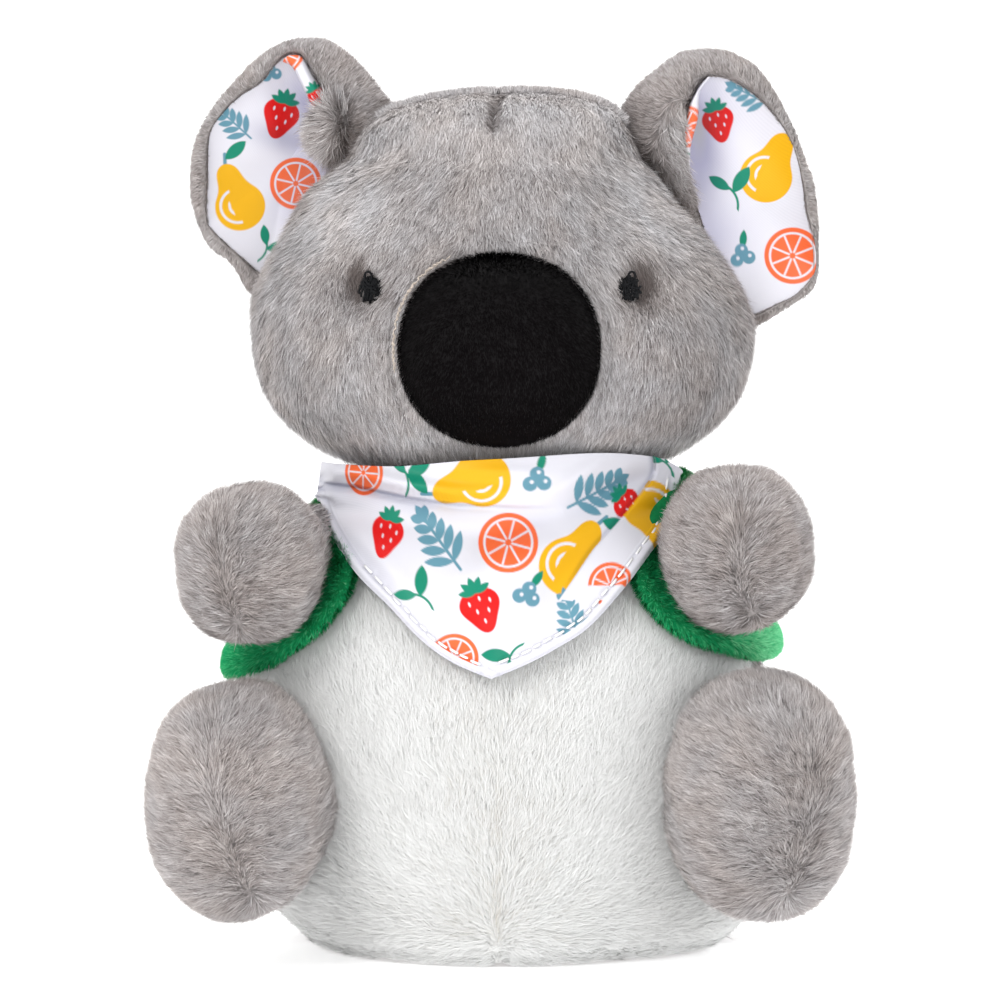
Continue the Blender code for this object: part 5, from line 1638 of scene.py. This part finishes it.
    # the turned-over strip of lining beside the fold
    le = curve([at(a_, b_, EAR_Y) for a_, b_ in spec["strip"][0]], 60)
    ri = curve([at(a_, b_, EAR_Y) for a_, b_ in spec["strip"][1]], 60)
    u, w, t = grid_net(24, 59)
    li = np.round(w * 59).astype(int)
    xz = le[li] * (1 - u)[:, None] + ri[li] * u[:, None]
    y = (-4.6 if s < 0 else -3.9) - 1.9 * np.sin(u * math.pi) ** 0.7 + 1.6 * (1 - np.minimum(u / 0.15, 1)) + 1.6 * np.maximum(u - 0.7, 0) / 0.3 + 0.8 * w
    sv_ = np.stack([xz[:, 0], y, xz[:, 1]], -1)
    t = outward(sv_, t, np.array([cx, 60.0, cz]))
    vv, ff = thicken(sv_, t, normals(sv_, t), 0.4)
    c = Cloth(vv[:, 0], vv[:, 2])
    if s < 0:
        c.slice(-53.5, 222.0, 0, 1.3)
        c.strawberry(-44.8, 211.0, 30, 1.2)
    else:
        c.slice(46.0, 204.0, 0, 1.4)
        c.twin(46.0, 196.5, 80, 1.2)
    lip = mesh(f"{body}_lining_fold", vv, ff, SATIN, body, paint=c.c)

    # thin wadding between lining and back
    ang_, rad_, tri = polar_net(72, 16)
    ri_ = np.interp(ang_ % (2 * math.pi), np.concatenate([angs, [2 * math.pi]]), np.concatenate([R_o, R_o[:1]])) - 3.0
    x = cx + np.cos(ang_) * rad_ * ri_
    z = cz + np.sin(ang_) * rad_ * ri_
    y0 = cup(x, z) + 1.0
    w0 = np.stack([x, y0, z], -1)
    tri = outward(w0, tri, np.array([cx, 60.0, cz]))
    yb = 7.6 * (1 - rad_ ** 2.2) ** 0.5
    vv, ff = thicken(w0, tri, np.tile([0.0, -1.0, 0.0], (len(w0), 1)), np.maximum(yb - y0, 0.5))
    solid(f"{body}_inner_wadding", vv, ff, FILL, body, [f"{body}_wadding"])


make_ear("ear_right", EARS["ear_right"], 71)
make_ear("ear_left", EARS["ear_left"], 72)

# -------------------------------------------------------------------- straps
STRAP_ROUTE = {
    1: [(24, 44, 100), (34, 33, 104), (43, 20, 107), (45.5, 6, 108), (42.5, -8, 107.5), (37.5, -22, 104.0),
        (33.6, -34, 99.0), (33.0, -41, 93.5), (35.3, -43, 87.6), (40.4, -41, 82.0), (47.8, -36, 78.7), (56, -28, 77.0),
        (62.5, -17, 77), (67, -4, 77), (64, 16, 75), (55, 32, 72), (44, 42, 70), (38, 47, 69.5), (31.2, 50.4, 69)],
    -1: [(24, 44, 100), (34, 33, 104), (43, 20, 107), (45.5, 6, 108), (42.5, -8, 107.5), (38.5, -22, 104.0),
         (36.0, -34, 99.0), (36.2, -40, 94.4), (38.2, -42, 88.0), (42.8, -41, 81.9), (50.0, -36, 77.2), (58, -26, 73.8),
         (66.5, -7, 71.5), (65, 14, 71), (55, 32, 71), (44, 42, 70), (38, 47, 69.5), (31.2, 50.4, 69)],
}


def strap(side, seed):
    guide = curve(STRAP_ROUTE[side], 150) * np.array([side, 1, 1])
    d = unit(guide - TORSO.c)
    mid_ = TORSO.hit(d, 2.9)
    if side > 0:      # on this side it stands up at the shoulder
        bump = np.exp(-((np.arange(150) - 35) / 10.0) ** 2)
        mid_ = mid_ + bump[:, None] * np.array([2.5, -5.0, 7.0])
    else:             # and on this one it lies flatter round the side
        mid_ = mid_ - d * (2.0 * step(50, 60, np.abs(mid_[:, 0])))[:, None]
    t = unit(np.gradient(mid_, axis=0))
    nrm = unit(TORSO.hit(d, 3.9) - TORSO.hit(d, 1.9))
    nrm = unit(nrm - t * (nrm * t).sum(1, keepdims=True))
    ac = np.cross(t, nrm)
    k = 28
    an = np.arange(k) * 2 * math.pi / k
    broad = np.exp(-((np.arange(150) - (72 if side > 0 else 80)) / 19.0) ** 2)      # spread out under the arm
    half_w = 3.5 + 1.4 * broad + 0.25 * np.sin(np.arange(150) * 0.21)
    cxs = np.sign(np.cos(an)) * np.abs(np.cos(an)) ** 0.75
    cys = np.sign(np.sin(an)) * np.abs(np.sin(an)) ** 0.9
    v = mid_[:, None] + ac[:, None] * (cxs[None, :, None] * half_w[:, None, None]) + nrm[:, None] * (cys[None, :, None] * 1.9)
    v = v.reshape(-1, 3)
    m = len(mid_)
    i, j = np.meshgrid(np.arange(m - 1), np.arange(k), indexing="ij")
    a, b = i * k + j, i * k + (j + 1) % k
    f = np.concatenate([np.stack([a, b, b + k], -1).reshape(-1, 3), np.stack([a, b + k, a + k], -1).reshape(-1, 3)])
    v = np.vstack([v, mid_[:1], mid_[-1:]])
    j = np.arange(k)
    f = np.concatenate([f, np.stack([np.full(k, m * k), (j + 1) % k, j], -1),
                        np.stack([np.full(k, m * k + 1), (m - 1) * k + j, (m - 1) * k + (j + 1) % k], -1)])
    f = f if (np.cross(v[f[:, 1]] - v[f[:, 0]], v[f[:, 2]] - v[f[:, 0]]) * (v[f].mean(1) - mid_[np.minimum(f[:, 0] // k, m - 1)])).sum() > 0 else f[:, ::-1]
    name = "strap_left" if side > 0 else "strap_right"
    solid(f"{name}_band", v, f, GREEN_SKIN, "torso", [name])
    tree = kdtree.KDTree(m)
    for q in range(m):
        tree.insert(mid_[q], q)
    tree.balance()

    def comb(p, n):
        g = np.fromiter((tree.find(q)[1] for q in p), int, len(p))
        off = ((p - mid_[g]) * ac[g]).sum(1)
        return t[g] * 0.7 + ac[g] * (off / 4.0)[:, None] * 0.8

    def keep(p, n):
        px, py = view_px(p)
        covered = inside_poly(px, py, B_OUT) & (p[:, 1] < -20) & (edge_distance(px, py, B_OUT[::6]) > 5)
        return (TORSO.value(p, 1.2) > 1.0) & ~covered

    # painted highlight on the left strap's front, strongest at its outer end; both straps are also lighter over the
    # shoulder
    pile(f"{name}_pile", v, f, "torso", GREEN, lambda m: np.interp(m[:, 1], [-14, 16], [14.0, 7.0]), 2.1, 38, comb, seed, keep=keep, tint=0.5,
         width=lambda p, n: np.interp(p[:, 1], [-14, 16], [0.155, 0.22]),
         clump=0.25, wave=3.0, swirl=0.6, spread=0.16, jitter=0.6, tuft=10,
         tint_by=lambda p, n: (0.36 * step(50, 64, p[:, 0]) + 0.04 * (p[:, 0] > 0)) * step(28, -8, p[:, 1])
         + (0.42 if side > 0 else 0.25) * step(104, 112, p[:, 2]))


strap(1, 81)
strap(-1, 82)

# ---------------------------------------------------------------------- pack
PZ, PW, PH, PB = 71.0, 31.0, 30.0, 74.3


def pack_xz(ang, rad, inset=0.0):
    cx, cz = np.cos(ang) * rad, np.sin(ang) * rad
    box = (np.abs(cx) ** 3 + np.abs(cz) ** 3) ** (1 / 3)
    k = np.where(box > 1e-6, rad / np.maximum(box, 1e-6), 1.0)
    return cx * k * (PW - inset), PZ + cz * k * (PH - inset)


def pack_y(x, z, r, rim_gap, off):
    rim = TORSO.face(x, z, 0.0, 1) + rim_gap
    top = PB - off - 0.0016 * (x * x + (z - PZ) ** 2)
    y = rim + np.maximum(top - rim, 0) * np.maximum(0, 1 - r ** 3.4) ** 0.5
    # soft creases where the front meets the sides
    return y - 0.8 * np.exp(-((r - 0.80) / 0.045) ** 2)


ang, rad, pt = polar_net(132, 46)
rad_e = np.sin(rad * math.pi / 2)
x, z = pack_xz(ang, rad_e, 1.6)
pv = np.stack([x, pack_y(x, z, rad_e, 2.9, 2.2), z], -1)
pt = outward(pv, pt, np.array([0, 40.0, PZ]))
skin("pack_front_cover", pv, pt, GREEN_SKIN, "torso", ["pack_front_panel"], 0.8)
comb_pack = lambda p, n: np.stack([p[:, 0] * 0.004, 0.1 * np.ones(len(p)), -np.ones(len(p))], -1)


def flap_edge(x):
    """Lower edge of the flap."""
    return PZ + 1.0 - 7.0 * (1 - (x / 24.0) ** 2) - 1.0


pile("pack_pile", pv, pt, "torso", GREEN, 4.6, 3.6, 62, comb_pack, 91, tint=0.5, width=0.32, clump=0.25,
     wave=6.0, spread=0.16, keep=lambda p, n: ~((np.abs(p[:, 0]) < 21) & (p[:, 2] > flap_edge(p[:, 0]) + 1) & (p[:, 1] > 60)))
u, w, ft_ = grid_net(56, 48)
uu_ = 2 * u - 1
fz_ = PZ + 24.0 - 22.5 * w - 7.0 * (1 - uu_ ** 2) * w
fx_ = uu_ * (22.6 - 2.0 * w)
fr_ = (np.abs(fx_ / PW) ** 3 + np.abs((fz_ - PZ) / PH) ** 3) ** (1 / 3)
fy_ = pack_y(fx_, fz_, fr_ * 0 + np.minimum(fr_, 0.78), 2.9, 0.0)
rimy = TORSO.face(fx_, fz_, 0.0, 1) + 2.9
topy = PB - 0.0016 * (fx_ ** 2 + (fz_ - PZ) ** 2)
fy_ = rimy + (topy - rimy) * np.maximum(0, 1 - fr_ ** 3.4) ** 0.5 + 0.5
flv = np.stack([fx_, fy_, fz_], -1)
ft_ = outward(flv, ft_, np.array([0, 30.0, PZ]))
skin("pack_flap_cover", flv, ft_, GREEN_SKIN, "torso", ["pack_flap"], 1.0)
pile("pack_flap_pile", flv, ft_, "torso", GREEN, 5.2, 3.4, 60, comb_pack, 92, tint=0.56, width=0.30, clump=0.25,
     wave=6.0, spread=0.16)
ang, rad, bt_ = polar_net(72, 12)
x, z = pack_xz(ang, rad, 1.0)
bv_ = np.stack([x, TORSO.face(x, z, 0.0, 1) + 2.0, z], -1)
bt_ = outward(bv_, bt_, np.array([0, 20.0, PZ]))
skin("pack_back_cover", bv_, bt_, GREEN_SKIN, "torso", ["pack_back_panel"], 0.9)
x, z = pack_xz(ang, rad, 5.0)
rim_ = TORSO.face(x, z, 0.0, 1)
pf_ = np.stack([x, rim_ + 4.5 + np.maximum(PB - 6.5 - rim_ - 4.5, 0) * np.maximum(0, 1 - rad ** 3.0) ** 0.5, z], -1)
t_ = outward(pf_, polar_net(72, 12)[2], np.array([0, 20.0, PZ]))
vv, ff = thicken(pf_, t_, np.tile([0.0, 1.0, 0.0], (len(pf_), 1)), np.maximum(pf_[:, 1] - rim_ - 3.4, 0.5))
solid("pack_filling", vv, ff, FILL, "torso", ["pack_stuffing"])

# --------------------------------------------------------------------- stage
floor_mat, t, s = new_mat("pale_floor")
co = t.nodes.new("ShaderNodeTexCoord")
nz = t.nodes.new("ShaderNodeTexNoise")
nz.inputs["Scale"].default_value = 6.0
link(t, co.outputs["Object"], nz.inputs["Vector"])
link(t, ramp(t, [(0.0, (0.90, 0.90, 0.90)), (1.0, (0.93, 0.93, 0.93))], nz.outputs["Fac"]), s.inputs["Base Color"])
s.inputs["Roughness"].default_value = 0.9
s.inputs["Emission Color"].default_value = (1, 1, 1, 1)      # lit from below, as a light table is
s.inputs["Emission Strength"].default_value = 0.42
# one sheet: flat under the toy, curving up behind it
prof = [(-3.0, 0.0), (1.0, 0.0)] + [(1.0 + 1.0 * math.sin(a), 1.0 - math.cos(a)) for a in np.linspace(0.1, math.pi / 2, 14)] + [(2.0, 3.5)]
me = bpy.data.meshes.new("studio_sweep")
vs = [(x_, y_, z_) for y_, z_ in prof for x_ in (-4.0, 4.0)]
me.from_pydata(vs, [], [(2 * i, 2 * i + 1, 2 * i + 3, 2 * i + 2) for i in range(len(prof) - 1)])
me.polygons.foreach_set("use_smooth", [True] * len(me.polygons))
me.materials.append(floor_mat)
sweep = bpy.data.objects.new("studio_sweep", me)
bpy.context.collection.objects.link(sweep)


def area_light(name, loc, aim, size, power, colour=(1, 1, 1)):
    li = bpy.data.lights.new(name, "AREA")
    li.shape, li.size, li.energy, li.color = "DISK", size, power, colour
    ob = bpy.data.objects.new(name, li)
    bpy.context.collection.objects.link(ob)
    from mathutils import Vector
    ob.location = loc
    ob.rotation_euler = (Vector(aim) - Vector(loc)).to_track_quat("-Z", "Y").to_euler()
    return ob


area_light("key", (-0.75, -1.15, 1.00), (0, 0, 0.12), 0.9, 12.5, (1.0, 0.988, 0.978))
area_light("fill", (1.1, -1.0, 0.45), (0, 0, 0.11), 1.1, 5.5, (0.96, 0.98, 1.0))
area_light("low", (0.0, -1.35, 0.14), (0, 0, 0.10), 0.7, 2.0)
area_light("top", (0.0, 0.25, 1.35), (0, 0, 0.12), 1.0, 11.0)
world = bpy.data.worlds.new("studio")
bpy.context.scene.world = world
world.use_nodes = True
bg = world.node_tree.nodes["Background"]
bg.inputs[0].default_value = (1.0, 1.0, 1.0, 1)
bg.inputs[1].default_value = 0.74

cam = bpy.data.cameras.new("camera")
cam.sensor_width, cam.lens = 36.0, 36.0 * CAM_D / (1000 * PX)
cam_ob = bpy.data.objects.new("camera", cam)
cam_ob.location = CAM * MM
cam_ob.rotation_euler = (math.pi / 2 - CAM_EL, 0, 0)
bpy.context.collection.objects.link(cam_ob)
scene = bpy.context.scene
scene.camera = cam_ob
scene.view_settings.view_transform = "Standard"

print("strands", sum(STRANDS.values()), STRANDS)
